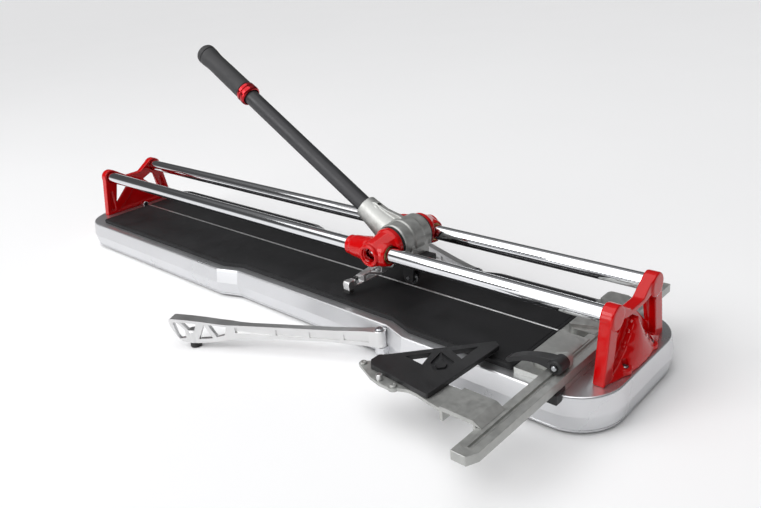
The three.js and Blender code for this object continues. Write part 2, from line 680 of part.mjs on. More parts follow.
/** The black holder bolted under the head, with the fork that carries the wheel. */
function wheelHolder() {
  const top = HOLDER_TOP - GAP;
  const bar = block(WHEEL_X - 12, PIVOT_X + 44, -10, 10, top - 12, top);
  const tail = block(PIVOT_X + 27, PIVOT_X + 44, -10, 10, top - 12, top + 10);
  const cheek = slabY(outline([
    [WHEEL_X - 8, WHEEL_HEIGHT - 2], [WHEEL_X - 5, WHEEL_HEIGHT - 6], [WHEEL_X + 5, WHEEL_HEIGHT - 6],
    [WHEEL_X + 8, WHEEL_HEIGHT - 2], [WHEEL_X + 12, top - 6], [WHEEL_X - 12, top - 6],
  ]), WHEEL_WIDTH / 2 + 1.5, WHEEL_WIDTH / 2 + 5.5);
  const slot = block(WHEEL_X - 13, WHEEL_X + 13, -WHEEL_WIDTH / 2 - 1.5, WHEEL_WIDTH / 2 + 1.5, 50, top - 6);
  const axle = barY(WHEEL_X, WHEEL_HEIGHT, AXLE_RADIUS + GAP, -12, 12);
  return piece('wheel_holder', cut(join(bar, tail, cheek, mirrored(cheek)), slot, axle), blackPlastic());
}

function wheelAxle() {
  const half = WHEEL_WIDTH / 2 + 7;
  return piece('wheel_axle', barY(WHEEL_X, WHEEL_HEIGHT, AXLE_RADIUS, -half, half), steel());
}

/** The scoring wheel, a thin disc with a sharp rim. */
function scoringWheel() {
  const half = WHEEL_WIDTH / 2;
  const points = [
    [AXLE_RADIUS + GAP, -half], [WHEEL_RADIUS - 3, -half], [WHEEL_RADIUS, 0],
    [WHEEL_RADIUS - 3, half], [AXLE_RADIUS + GAP, half], [AXLE_RADIUS + GAP, -half],
  ].map(([radius, y]) => new THREE.Vector2(radius, y));
  const disc = solid(new THREE.LatheGeometry(points, 32).translate(WHEEL_X, 0, WHEEL_HEIGHT));
  return piece('scoring_wheel', disc, steel());
}

function separatorPin() {
  const x = SEPARATOR_PIN_X;
  const pin = barY(x, SEPARATOR_PIN_HEIGHT, SEPARATOR_PIN_RADIUS, -17, 17);
  return piece('separator_pin', pin, steel());
}

// ---- Breaker ------------------------------------------------------------------------------------

const PRESS_PAD_BOTTOM = PAD_TOP + PRESS_PAD_LIFT;

/** The breaker: a hub on the pin and two wings that press the tile on both sides of the score. */
function separatorBody() {
  const pinX = SEPARATOR_PIN_X;
  const pinZ = SEPARATOR_PIN_HEIGHT;
  const tipBottom = PRESS_PAD_BOTTOM + PRESS_PAD_THICKNESS;
  const ear = block(pinX - 18, pinX + 7, 7 + GAP, 14, pinZ - 7, pinZ + 6);
  const bridge = block(pinX - 20, pinX - 10, -14, 14, pinZ - 9, pinZ + 4);
  const wing = outline([
    [pinX - 20, 8], [pinX - 4, 14], [pinX - 6, 22],
    [SEPARATOR_TIP_X + 7, SEPARATOR_TIP_Y - 2], [SEPARATOR_TIP_X - 6, SEPARATOR_TIP_Y - 4],
  ]);
  const side = outline([
    [6, pinZ - 9], [6, pinZ + 4], [20, pinZ + 4], [SEPARATOR_TIP_Y + 4, tipBottom + 13],
    [SEPARATOR_TIP_Y + 4, tipBottom], [SEPARATOR_TIP_Y - 8, tipBottom],
  ]);
  const arm = plate(wing, tipBottom, pinZ + 6).intersect(slabX(side, SEPARATOR_TIP_X - 10, pinX));
  const tip = block(
    SEPARATOR_TIP_X - 7, SEPARATOR_TIP_X + 7, SEPARATOR_TIP_Y - 6, SEPARATOR_TIP_Y + 5,
    tipBottom, tipBottom + 12,
  );
  const rear = join(ear, arm, tip);
  const hole = barY(pinX, pinZ, SEPARATOR_PIN_RADIUS + GAP, -15, 15);
  return cut(join(rear, mirrored(rear), bridge), hole);
}

function pressPads() {
  const rear = block(
    SEPARATOR_TIP_X - 6, SEPARATOR_TIP_X + 6, SEPARATOR_TIP_Y - 5, SEPARATOR_TIP_Y + 4,
    PRESS_PAD_BOTTOM, PRESS_PAD_BOTTOM + PRESS_PAD_THICKNESS,
  );
  return [
    piece('front_press_pad', mirrored(rear), rubber()),
    piece('rear_press_pad', rear, rubber()),
  ];
}

const separator = () => [piece('separator', separatorBody(), polishedAluminium()), ...pressPads()];

// ---- Side fence ---------------------------------------------------------------------------------

/** The slope of a fence block's top as [x, z], with the lip that holds the rail down. */
function fenceProfile() {
  const lipEdge = RAIL_INNER + FENCE_LIP;
  return outline([
    [FENCE_BLOCK_START, DECK_HEIGHT], [FENCE_BLOCK_START, FENCE_BLOCK_TOP - 2],
    [FENCE_BLOCK_START + 4, FENCE_BLOCK_TOP], [RAIL_INNER - 1, FENCE_BLOCK_TOP],
    [lipEdge, RAIL_TOP + 1.2], [lipEdge, RAIL_TOP + GAP], [RAIL_INNER - GAP, RAIL_TOP + GAP],
    [RAIL_INNER - GAP, DECK_HEIGHT],
  ]);
}

function fenceCasting() {
  const blocks = [[-85, -18], [-6, 60], [70, 96]].map(([y0, y1]) => slabY(fenceProfile(), y0, y1, 0));
  const floor = block(PAD_END + 2, RAIL_OUTER, -BASE_HALF_WIDTH + 6, BASE_HALF_WIDTH - 6,
    DECK_HEIGHT, RAIL_BOTTOM - GAP);
  const earX = RAIL_X + 2;
  const ear = slabY(outline([
    [RAIL_INNER - 4, RAIL_TOP + GAP], [earX + 6, RAIL_TOP + GAP], [earX + 6, RAIL_TOP + 14],
    [earX - 5, RAIL_TOP + 16], [RAIL_INNER - 4, FENCE_BLOCK_TOP],
  ]), -84, -76);
  const pinHole = barY(earX, RAIL_TOP + 9, LOCK_PIN_RADIUS + GAP, -86, -74);
  const notch = plate(outline([[RAIL_INNER - 30, -18], [RAIL_INNER + 9, -34], [RAIL_INNER + 9, 8],
    [RAIL_INNER - 30, -6]]), RAIL_TOP + 1, 90);
  return piece('fence_casting', cut(join(floor, ...blocks, ear), pinHole, notch), castAluminium());
}

function fenceRail() {
  const nose = 13;
  const shape = outline([
    [RAIL_INNER, RAIL_FRONT], [RAIL_OUTER - 6, RAIL_FRONT], [RAIL_OUTER, RAIL_FRONT + nose],
    [RAIL_OUTER, RAIL_REAR], [RAIL_INNER, RAIL_REAR],
  ]);
  const groove = block(
    RAIL_X - GROOVE_WIDTH / 2, RAIL_X + GROOVE_WIDTH / 2,
    RAIL_FRONT + nose, RAIL_REAR + 1, RAIL_TOP - 2.5, RAIL_TOP + 1,
  );
  return piece('fence_rail', cut(plate(shape, RAIL_BOTTOM, RAIL_TOP, 0.6), groove), castAluminium());
}

/** The guide block under the rail, fixed to the base's front. */
function railGuide() {
  const top = RAIL_BOTTOM - GAP;
  const body = block(RAIL_X - 2, RAIL_OUTER + 3, -BASE_HALF_WIDTH - 17, -BASE_HALF_WIDTH - 5.5, top - 12, top);
  const neck = block(RAIL_X, RAIL_OUTER, -BASE_HALF_WIDTH - 8, -BASE_HALF_WIDTH + 5.5, top - 6, top);
  const deckGap = block(RAIL_X - 1, RAIL_OUTER + 1, -BASE_HALF_WIDTH - 0.5, 0, 40, DECK_HEIGHT + GAP);
  return piece('rail_guide', cut(join(body, neck), deckGap), blackPlastic());
}

function lockPin() {
  const pin = barY(RAIL_X + 2, RAIL_TOP + 9, LOCK_PIN_RADIUS, -106, -75);
  return piece('fence_lock_pin', pin, steel());
}

/** The black lever that clamps the rail, lying towards the table when locked. */
function lockLever() {
  const x = RAIL_X + 2;
  const z = RAIL_TOP + 9;
  const hub = barY(x, z, 8.6, -104, -86);
  const handle = slabY(outline([
    [x, z + 8], [x - 30, z + 6], [x - 46, z - 2], [x - 60, z - 9], [x - 62, z - 14], [x - 58, z - 14],
    [x - 44, z - 8], [x - 30, z - 1], [x - 8, z - 2], [x, z - 4],
  ]), -102, -90, 1);
  const hole = barY(x, z, LOCK_PIN_RADIUS + GAP, -105, -85);
  return piece('fence_lock_lever', cut(join(hub, handle), hole), blackPlastic());
}

// ---- Angle stop ---------------------------------------------------------------------------------

/** The bracket that rides on the rail and carries the square. */
function stopBracket() {
  const rear = STOP_FRONT + STOP_DEPTH;
  const shape = outline([
    [305, -191], [309, -188], [322, -178], [395, -172], [STOP_RISER_X, -172], [STOP_RISER_X, STOP_FRONT + 9],
    [412, STOP_FRONT + 14], [389, STOP_FRONT + 18], [381, STOP_FRONT + 10], [368, STOP_FRONT + 8],
    [352, STOP_FRONT + 9], [335, STOP_FRONT + 13], [307, STOP_FRONT + 23],
  ]);
  const profile = outline([
    [STOP_RISER_X - 4, STOP_PLATE_BOTTOM], [STOP_RISER_X - 4, STOP_TOP - 1], [STOP_RISER_X - 3, STOP_TOP],
    [RAIL_INNER - 4, STOP_TOP], [RAIL_INNER + 6, RAIL_TOP + GAP], [RAIL_INNER + 1, RAIL_TOP + GAP],
    [RAIL_INNER - 1, RAIL_TOP + 1.2], [RAIL_INNER - 1, RAIL_BOTTOM], [RAIL_INNER - 4, RAIL_BOTTOM],
    [RAIL_INNER - 4, STOP_TOP - 5], [STOP_RISER_X, STOP_TOP - 5], [STOP_RISER_X, STOP_PLATE_BOTTOM],
  ]);
  const plateBody = plate(shape, STOP_PLATE_BOTTOM, STOP_PLATE_TOP, 0.5);
  const bosses = [[310, -192], [368, -208]].map(([x, y]) => (
    barZ(x, y, 4.2, STOP_PLATE_BOTTOM, STOP_PLATE_TOP + 2.5)
  ));
  const hole = barZ(SQUARE_PIVOT[0], SQUARE_PIVOT[1], 3 + GAP, STOP_PLATE_BOTTOM - 1, STOP_PLATE_TOP + 1);
  const detent = barZ(348, -207, 2.5 + GAP, STOP_PLATE_BOTTOM - 1, STOP_PLATE_TOP + 1);
  const raised = slabY(profile, STOP_FRONT, rear);
  return piece('stop_bracket', cut(join(plateBody, raised, ...bosses), hole, detent), castAluminium());
}

function stopScrews() {
  const [x, y] = SQUARE_PIVOT;
  const pivot = join(
    barZ(x, y, 5.5, STOP_PLATE_TOP - STOP_PLATE_THICKNESS - 3, STOP_PLATE_BOTTOM - GAP),
    barZ(x, y, 3, STOP_PLATE_BOTTOM - 2, STOP_PLATE_TOP + SQUARE_THICKNESS - 1.5),
  );
  const detent = join(
    barZ(348, -207, 2.5, STOP_PLATE_BOTTOM, STOP_PLATE_TOP + GAP + 1),
    barZ(348, -207, 3.6, STOP_PLATE_TOP + GAP, STOP_PLATE_TOP + 7),
  );
  return [
    piece('stop_pivot_screw', pivot, steel()),
    piece('stop_detent_pin', detent, polishedAluminium()),
  ];
}

/** The triangular square, with two windows and a shallow recess. */
function stopSquare() {
  const low = STOP_PLATE_TOP + GAP;
  const high = low + SQUARE_THICKNESS;
  const [px, py] = SQUARE_PIVOT;
  const [cx, cy] = SQUARE_CORNER;
  const [tx, ty] = SQUARE_TIP;
  const body = outline([
    [px - 6, py - 9], [cx - 4, cy], [cx + 2, cy + 5], [tx + 5, ty - 12], [tx + 5, ty - 6], [tx - 4, ty],
    [px - 8, py + 15], [px - 13, py + 10], [px - 13, py],
  ]);
  const windows = [
    outline([[344, -170], [364, -144], [372, -171]]),
    outline([[380, -126], [401, -101], [404, -135]]),
  ].map((shape) => plate(shape, low - 1, high + 1));
  const recess = plate(outline([[372, -140], [385, -163], [400, -146]]), high - 2, high + 1);
  const hole = barZ(px, py, 3 + GAP, low - 1, high - 1);
  return piece('stop_square', cut(plate(body, low, high, 0.6), ...windows, recess, hole), blackPlastic());
}

// ---- Swing arms ---------------------------------------------------------------------------------

/** The side view of an arm as [x, z], with the hinge at x = 0 and the tip at -ARM_LENGTH. */
function armProfile() {
  const low = ARM_TOP - ARM_HEIGHT;
  const neck = ARM_TOP - ARM_NECK_HEIGHT;
  const knuckle = ARM_TOP - ARM_KNUCKLE_HEIGHT;
  return outline([
    [-ARM_LENGTH, ARM_TOP - 4], [-ARM_LENGTH + 4, ARM_TOP], [-ARM_LENGTH + 56, ARM_TOP - 3],
    [-ARM_LENGTH + 92, ARM_TOP - 5], [-60, ARM_TOP - 3], [0, ARM_TOP],
    [0, knuckle], [-30, knuckle + 1], [-70, neck - 3], [-ARM_LENGTH + 100, neck - 6],
    [-ARM_LENGTH + 70, low + 4], [-ARM_POST_AT + 8, low], [-ARM_POST_AT - 8, low],
    [-ARM_LENGTH + 10, low + 10], [-ARM_LENGTH, ARM_TOP - 12],
  ]);
}

/** An arm along -X from its hinge at the origin, with its truss windows and panel recesses. */
function armBody() {
  const wide = ARM_THICKNESS / 2;
  const narrow = ARM_NECK_THICKNESS / 2;
  const plan = outline([
    [-ARM_LENGTH, -wide], [-ARM_LENGTH + 88, -wide], [-ARM_LENGTH + 104, -narrow], [-24, -narrow],
    [0, -ARM_KNUCKLE_RADIUS + 0.2], [0, ARM_KNUCKLE_RADIUS - 0.2], [-24, narrow],
    [-ARM_LENGTH + 104, narrow], [-ARM_LENGTH + 88, wide], [-ARM_LENGTH, wide],
  ]);
  const bar = slabY(armProfile(), -wide - 1, wide + 1).intersect(plate(plan, 0, ARM_TOP + 1));
  const knuckle = barZ(0, 0, ARM_KNUCKLE_RADIUS, ARM_TOP - ARM_KNUCKLE_HEIGHT, ARM_TOP);
  const base = -ARM_LENGTH;
  const windows = [
    [[base + 9, 34], [base + 22, 39], [base + 22, 20]],
    [[base + 27, 38], [base + 44, 37], [base + 40, 16], [base + 27, 18]],
    [[base + 49, 37], [base + 62, 35], [base + 46, 17]],
    [[base + 67, 35], [base + 84, 34], [base + 78, 23], [base + 55, 17]],
  ].map((points) => slabY(outline(points), -wide - 2, wide + 2));
  const recesses = [[-192, -150], [-144, -102], [-96, -48]].flatMap(([x0, x1]) => [-1, 1].map((side) => (
    block(x0, x1, side * narrow - 1.6, side * narrow + 1.6, ARM_TOP - 16.5, ARM_TOP - 8)
  )));
  const hole = barZ(0, 0, ARM_PIN_RADIUS + GAP, 0, ARM_TOP + 1);
  const postHole = barZ(-ARM_POST_AT, 0, 4 + GAP, 0, 22);
  return cut(join(bar, knuckle), ...windows, ...recesses, hole, postHole);
}

/** The height post with its rubber shoe, at the origin. */
const postBody = () => join(barZ(0, 0, 4, 3, 20), barZ(0, 0, 6, 5, ARM_TOP - ARM_HEIGHT - GAP));
const shoeBody = () => cut(barZ(0, 0, 8, 0, 7, 24, 7), barZ(0, 0, 6 + GAP, 4.7, 8), barZ(0, 0, 4 + GAP, 2.7, 8));

/** One arm with its post and shoe; side is -1 for the front arm and 1 for the rear one. */
function swingArm(name, side, openAngle) {
  const place = (body) => body
    .rotate([0, 0, -side * openAngle])
    .translate([ARM_PIVOT_X, side * ARM_PIVOT_Y, 0]);
  const atPost = (body) => place(body.translate([-ARM_POST_AT, 0, 0]));
  return [
    piece(`${name}_arm`, place(armBody()), polishedAluminium()),
    piece(`${name}_arm_post`, atPost(postBody()), steel()),
    piece(`${name}_arm_shoe`, atPost(shoeBody()), rubber()),
  ];
}

/** The hinge pin of an arm, fixed in the base's shelf. */
function armPin(name, side) {
  const y = side * ARM_PIVOT_Y;
  const bottom = ARM_TOP - ARM_KNUCKLE_HEIGHT - GAP - 9;
  const pin = join(
    barZ(ARM_PIVOT_X, y, ARM_PIN_RADIUS, bottom, ARM_TOP + 1),
    barZ(ARM_PIVOT_X, y, ARM_PIN_RADIUS + 2, ARM_TOP + GAP, ARM_TOP + 2.5),
  );
  return piece(`${name}_arm_pin`, pin, steel());
}

// ---- Assembly -----------------------------------------------------------------------------------

/** A group of pieces that move together. */
function assembly(...pieces) {
  const group = new THREE.Group();
  group.add(...pieces);
  return group;
}

const machine = assembly(
  assembly(baseCasting(), ...rubberFeet(), ...pads(), breakingRib()),
  assembly(...supports(), ...guideRods(), parkingMagnet()),
  assembly(...carriage()),
  assembly(leverHead(), leverTube(), tubeScrew(), grip(), gripCap(), gripRing()),
  assembly(wheelHolder(), wheelAxle(), separatorPin()),
  assembly(scoringWheel()),
  assembly(...separator()),
  assembly(fenceCasting(), railGuide(), lockPin()),
  assembly(fenceRail()),
  assembly(lockLever()),
  assembly(stopBracket(), ...stopScrews()),
  assembly(stopSquare()),
  assembly(...swingArm('front', -1, FRONT_ARM_OPEN), armPin('front', -1)),
  assembly(...swingArm('rear', 1, REAR_ARM_OPEN), armPin('rear', 1)),
);

const footprint = new THREE.Box3().setFromObject(machine).getCenter(new THREE.Vector3());
machine.position.set(-footprint.x, -footprint.y, 0);
machine.updateMatrixWorld(true);

export default machine;
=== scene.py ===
"""Manual tile cutter, dressed: castings, pads, rods, lever, fence and arms around the fixed frame.

Sizes are millimetres in the machine's own frame. Its X = 0 is the table's datum, its Y = 0 is the
cutting line and its Z = 0 is the floor. Datum turns them into the frame's metres. Nothing here
moves or resizes a part of the frame.
"""

import json
import logging
import math
from dataclasses import dataclass
from enum import Enum
from typing import Callable, ClassVar, Iterable, Sequence

import bpy
from mathutils import Matrix, Vector


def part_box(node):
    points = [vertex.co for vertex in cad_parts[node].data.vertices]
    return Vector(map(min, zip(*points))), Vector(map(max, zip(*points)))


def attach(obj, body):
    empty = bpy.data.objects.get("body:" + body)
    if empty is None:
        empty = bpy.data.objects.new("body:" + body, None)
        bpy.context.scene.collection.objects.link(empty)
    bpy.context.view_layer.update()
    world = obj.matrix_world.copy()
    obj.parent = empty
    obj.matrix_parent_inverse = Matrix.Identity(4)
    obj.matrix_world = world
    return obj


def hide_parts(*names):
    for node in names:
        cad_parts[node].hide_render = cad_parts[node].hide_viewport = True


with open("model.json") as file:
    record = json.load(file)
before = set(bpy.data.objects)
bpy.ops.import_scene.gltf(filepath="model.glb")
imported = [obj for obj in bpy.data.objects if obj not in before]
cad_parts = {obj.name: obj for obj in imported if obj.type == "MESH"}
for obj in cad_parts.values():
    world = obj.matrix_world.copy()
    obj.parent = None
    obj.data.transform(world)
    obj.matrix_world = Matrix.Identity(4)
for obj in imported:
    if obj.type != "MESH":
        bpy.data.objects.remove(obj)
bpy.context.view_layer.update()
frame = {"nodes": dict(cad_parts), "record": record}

LOG = logging.getLogger("tile_cutter")
MM = 0.001
PAD_END_FROM_DATUM = 446.0
PIN_BORE = 3.3
HINGE_BORE = 3.8
SHAFT_BORE = 6.3
WELD = 2e-6  # metres
FEET = ("foot_front_left", "foot_front_right", "foot_rear_left", "foot_rear_right")
SIDES = (-1, 1)

Pair = tuple[float, float]
Triple = tuple[float, float, float]
Ring = list[Triple]
Body = bpy.types.Object
Socket = bpy.types.NodeSocket


class Axis(Enum):
    """The direction that a prism, bar or turned body runs along."""

    X = 0
    Y = 1
    Z = 2

    def place(self, u: float, v: float, along: float) -> Triple:
        """A point from its two coordinates across this axis and the one along it.

        Args:
            u: Y for X, X for Y and for Z.
            v: Z for X and for Y, Y for Z.
            along: The coordinate on this axis.

        Returns:
            The point as x, y, z.
        """
        if self is Axis.X:
            return (along, u, v)
        if self is Axis.Y:
            return (u, along, v)
        return (u, v, along)


class Pattern(Enum):
    """How the fine grain of a finish runs."""

    EVEN = (1.0, 1.0, 1.0)
    ALONG_X = (0.02, 1.0, 1.0)


# ---- Datum ---------------------------------------------------------------------------------------


@dataclass(frozen=True)
class Datum:
    """The machine's millimetre frame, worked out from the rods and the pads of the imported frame."""

    x: float
    y: float

    @classmethod
    def from_frame(cls) -> "Datum":
        """Finds the cutting line midway between the rods, and X = 0 from the pads' right end.

        Returns:
            The datum.
        """
        front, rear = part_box("front_guide_rod"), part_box("rear_guide_rod")
        middle = (front[0].y + rear[1].y) / 2
        return cls(x=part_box("front_pad")[1].x - PAD_END_FROM_DATUM * MM, y=middle)

    def metres(self, point: Triple) -> Vector:
        """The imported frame's point for a machine point."""
        return Vector((self.x + point[0] * MM, self.y + point[1] * MM, point[2] * MM))

    def box(self, node: str) -> tuple[Vector, Vector]:
        """A node's lowest and highest corners in machine millimetres."""
        low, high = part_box(node)
        shift = Vector((self.x, self.y, 0))
        return (low - shift) / MM, (high - shift) / MM

    def centre(self, node: str) -> Triple:
        """The middle of a node's box in machine millimetres."""
        low, high = self.box(node)
        return tuple((low + high) / 2)


DATUM = Datum.from_frame()


def arc(centre: Pair, radius: float, start: float, end: float, steps: int) -> list[Pair]:
    """Points along a circular arc.

    Args:
        centre: Its centre.
        radius: Its radius.
        start: The first angle, in degrees.
        end: The last angle, in degrees.
        steps: How many pieces it has.

    Returns:
        The points, with both ends.
    """
    angles = [math.radians(start + (end - start) * i / steps) for i in range(steps + 1)]
    return [(centre[0] + radius * math.cos(a), centre[1] + radius * math.sin(a)) for a in angles]


def curve(points: Sequence[Pair], steps: int) -> list[Pair]:
    """Points along the quadratic or cubic curve with these control points.

    Args:
        points: Three or four control points.
        steps: How many pieces it has.

    Returns:
        The points, with both ends.
    """
    def at(t: float, control: Sequence[Pair]) -> Pair:
        if len(control) == 1:
            return control[0]
        low, high = at(t, control[:-1]), at(t, control[1:])
        return (low[0] + (high[0] - low[0]) * t, low[1] + (high[1] - low[1]) * t)
    return [at(i / steps, points) for i in range(steps + 1)]


def mirror(points: Sequence[Pair]) -> list[Pair]:
    """The points mirrored in their first coordinate, in the opposite order."""
    return [(-u, v) for u, v in reversed(points)]


def hexagon(centre: Pair, radius: float) -> list[Pair]:
    """A hexagon with a corner in the direction of the first coordinate."""
    return [(centre[0] + u, centre[1] + v) for u, v in arc((0, 0), radius, 0, 300, 5)]


# ---- Finishes ------------------------------------------------------------------------------------

BLACK, WHITE = (0.0, 0.0, 0.0), (1.0, 1.0, 1.0)
COAT_ROUGHNESS = 0.06
FLAKE_SCALE = 5200.0
SCUFF_SCALE = 14.0


@dataclass(frozen=True)
class Finish:
    """A procedural finish: a base tone with mottling, grain, flakes, scuffs and its own gloss.

    Scales are repeats a metre. A spread is how far the mottling moves a value to each side.
    """

    name: str
    tone: Triple
    roughness: float
    metallic: float = 0.0
    tone_spread: float = 0.08
    mottle_scale: float = 60.0
    gloss_spread: float = 0.08
    grain_scale: float = 900.0
    grain_depth: float = 0.06
    pattern: Pattern = Pattern.EVEN
    coat: float = 0.0
    specular: float = 0.5
    scuffs: float = 0.0
    scuff_tone: Triple = (0.55, 0.55, 0.55)
    flakes: float = 0.0

    def build(self) -> bpy.types.Material:
        """Makes the material.

        Returns:
            The new material.
        """
        material = bpy.data.materials.new(self.name)
        material.use_nodes = True
        material.diffuse_color = (*self.tone, 1)
        graph = Graph(material)
        shader = graph.shader
        shader.inputs["Metallic"].default_value = self.metallic
        shader.inputs["Specular IOR Level"].default_value = self.specular
        shader.inputs["Coat Weight"].default_value = self.coat
        shader.inputs["Coat Roughness"].default_value = COAT_ROUGHNESS
        place = graph.coordinates(self.pattern.value)
        mottle = graph.noise(place, self.mottle_scale, 5.0)
        grain = graph.noise(place, self.grain_scale, 3.0)
        dark = tuple(c * (1 - self.tone_spread) for c in self.tone)
        light = tuple(min(1.0, c * (1 + self.tone_spread)) for c in self.tone)
        tone = graph.ramp(mottle, 0.35, 0.65, dark, light)
        if self.flakes:
            sparkle = graph.ramp(graph.noise(place, FLAKE_SCALE, 1.0), 0.5, 0.74, BLACK, WHITE)
            bright = tuple(min(1.0, c * 1.35) for c in self.tone)
            tone = graph.mix(tone, bright, sparkle, self.flakes)
        if self.scuffs:
            worn = graph.ramp(graph.noise(place, SCUFF_SCALE, 9.0), 0.6, 0.78, BLACK, WHITE)
            tone = graph.mix(tone, self.scuff_tone, worn, self.scuffs)
        graph.link(tone, shader.inputs["Base Color"])
        spread = self.gloss_spread
        rough = graph.span(mottle, self.roughness - spread, self.roughness + spread)
        graph.link(rough, shader.inputs["Roughness"])
        graph.link(graph.bump(grain, self.grain_depth), shader.inputs["Normal"])
        return material


class Graph:
    """The node tree of one material."""

    RELIEF = 0.0002
    NOISE_SPAN = (0.3, 0.7)

    def __init__(self, material: bpy.types.Material) -> None:
        """Starts from the material's own shader."""
        self.tree = material.node_tree
        self.shader = self.tree.nodes["Principled BSDF"]

    def link(self, source: Socket, target: Socket) -> None:
        """Joins two sockets."""
        self.tree.links.new(source, target)

    def add(self, kind: str, output: str, feeds: dict[str, Socket],
            settings: dict[str, object]) -> Socket:
        """Adds a node.

        Args:
            kind: Its type.
            output: The output that is wanted.
            feeds: The sockets that feed its inputs, by the inputs' names.
            settings: The values of its other inputs, by their names.

        Returns:
            The output's socket.
        """
        node = self.tree.nodes.new(f"ShaderNode{kind}")
        for name, value in settings.items():
            node.inputs[name].default_value = value
        for name, source in feeds.items():
            self.link(source, node.inputs[name])
        return node.outputs[output]

    def coordinates(self, stretch: Triple) -> Socket:
        """Object coordinates, stretched along the grain.

        Args:
            stretch: The scale along each axis.

        Returns:
            The vector socket.
        """
        source = self.add("TexCoord", "Object", {}, {})
        return self.add("Mapping", "Vector", {"Vector": source}, {"Scale": stretch})

    def noise(self, place: Socket, scale: float, detail: float) -> Socket:
        """A noise pattern's strength.

        Args:
            place: Where it is read.
            scale: Its repeats a metre.
            detail: Its octaves.

        Returns:
            The value socket.
        """
        return self.add("TexNoise", "Fac", {"Vector": place}, {"Scale": scale, "Detail": detail})

    def ramp(self, value: Socket, low: float, high: float, dark: Triple, light: Triple) -> Socket:
        """Colours a value between two stops.

        Args:
            value: The value.
            low: Where the first colour ends.
            high: Where the second colour starts.
            dark: The first colour.
            light: The second colour.

        Returns:
            The colour socket.
        """
        node = self.tree.nodes.new("ShaderNodeValToRGB")
        first, last = node.color_ramp.elements
        first.position, first.color = low, (*dark, 1)
        last.position, last.color = high, (*light, 1)
        self.link(value, node.inputs["Fac"])
        return node.outputs["Color"]

    def mix(self, base: Socket, tone: Triple, mask: Socket, strength: float) -> Socket:
        """Lays a tone over a colour where a mask is light.

        Args:
            base: The colour below.
            tone: The tone laid over it.
            mask: Where it lies.
            strength: How much of it shows.

        Returns:
            The colour socket.
        """
        part = self.tree.nodes.new("ShaderNodeMath")
        part.operation = "MULTIPLY"
        part.inputs[1].default_value = strength
        self.link(mask, part.inputs[0])
        node = self.tree.nodes.new("ShaderNodeMixRGB")
        node.inputs["Color2"].default_value = (*tone, 1)
        self.link(part.outputs["Value"], node.inputs["Fac"])
        self.link(base, node.inputs["Color1"])
        return node.outputs["Color"]

    def span(self, value: Socket, low: float, high: float) -> Socket:
        """Maps a value from the middle of its range to another range.

        Args:
            value: The value.
            low: The result at the bottom of the noise's usual span.
            high: The result at its top.

        Returns:
            The value socket.
        """
        return self.add("MapRange", "Result", {"Value": value}, {
            "From Min": self.NOISE_SPAN[0], "From Max": self.NOISE_SPAN[1],
            "To Min": max(0.02, low), "To Max": min(1.0, high),
        })

    def bump(self, height: Socket, strength: float) -> Socket:
        """Raises the surface by a height.

        Args:
            height: The height.
            strength: How much of it counts.

        Returns:
            The normal socket.
        """
        settings = {"Strength": strength, "Distance": self.RELIEF}
        return self.add("Bump", "Normal", {"Height": height}, settings)


class Slot(Enum):
    """The record's material slots and their finishes."""

    SILVER_PAINT = Finish(
        "silver_paint", (0.65, 0.655, 0.67), 0.29, metallic=0.92, tone_spread=0.03,
        mottle_scale=9.0, gloss_spread=0.03, grain_scale=700.0, grain_depth=0.03, flakes=0.3,
    )
    RED_ENAMEL = Finish(
        "red_enamel", (0.52, 0.001, 0.002), 0.15, tone_spread=0.06, mottle_scale=25.0,
        gloss_spread=0.04, grain_scale=260.0, grain_depth=0.03, coat=0.3, specular=0.2,
    )
    PAD_RUBBER = Finish(
        "pad_rubber", (0.013, 0.013, 0.014), 0.6, tone_spread=0.25, mottle_scale=30.0,
        grain_scale=1500.0, grain_depth=0.3, specular=0.25, scuffs=0.03,
        scuff_tone=(0.08, 0.08, 0.08),
    )
    FOOT_RUBBER = Finish(
        "foot_rubber", (0.016, 0.016, 0.016), 0.7, tone_spread=0.25, grain_scale=1200.0,
        grain_depth=0.2,
    )
    CHROME = Finish(
        "chrome", (0.74, 0.75, 0.77), 0.07, metallic=1.0, tone_spread=0.02, mottle_scale=40.0,
        gloss_spread=0.02, grain_scale=1600.0, grain_depth=0.002, pattern=Pattern.ALONG_X,
    )
    STEEL = Finish(
        "steel", (0.42, 0.43, 0.45), 0.32, metallic=1.0, tone_spread=0.1, mottle_scale=150.0,
        grain_scale=2200.0, grain_depth=0.05,
    )
    CAST_ALUMINIUM = Finish(
        "cast_aluminium", (0.43, 0.435, 0.42), 0.46, metallic=0.78, tone_spread=0.07,
        mottle_scale=160.0, grain_scale=1900.0, grain_depth=0.22,
    )
    BRIGHT_ALUMINIUM = Finish(
        "bright_aluminium", (0.7, 0.7, 0.7), 0.32, metallic=0.96, tone_spread=0.03,
        mottle_scale=40.0, gloss_spread=0.04, grain_depth=0.02,
    )
    BRONZE = Finish(
        "bronze", (0.5, 0.33, 0.15), 0.4, metallic=1.0, tone_spread=0.15, grain_scale=2500.0,
        grain_depth=0.15,
    )
    BLACK_PLASTIC = Finish(
        "black_plastic", (0.018, 0.018, 0.019), 0.42, tone_spread=0.12, mottle_scale=80.0,
        grain_scale=1800.0, grain_depth=0.12, specular=0.35,
    )
    TUBE_COATING = Finish(
        "tube_coating", (0.034, 0.034, 0.037), 0.4, metallic=0.1, tone_spread=0.06,
        grain_scale=2600.0, grain_depth=0.1, specular=0.35,
    )
    GRIP_RUBBER = Finish(
        "grip_rubber", (0.028, 0.028, 0.03), 0.6, tone_spread=0.12, mottle_scale=140.0,
        grain_scale=1500.0, grain_depth=0.3,
    )
    RED_ANODISED = Finish(
        "red_anodised", (0.42, 0.006, 0.012), 0.2, metallic=0.9, tone_spread=0.05,
        grain_scale=2400.0, grain_depth=0.05, coat=0.3,
    )


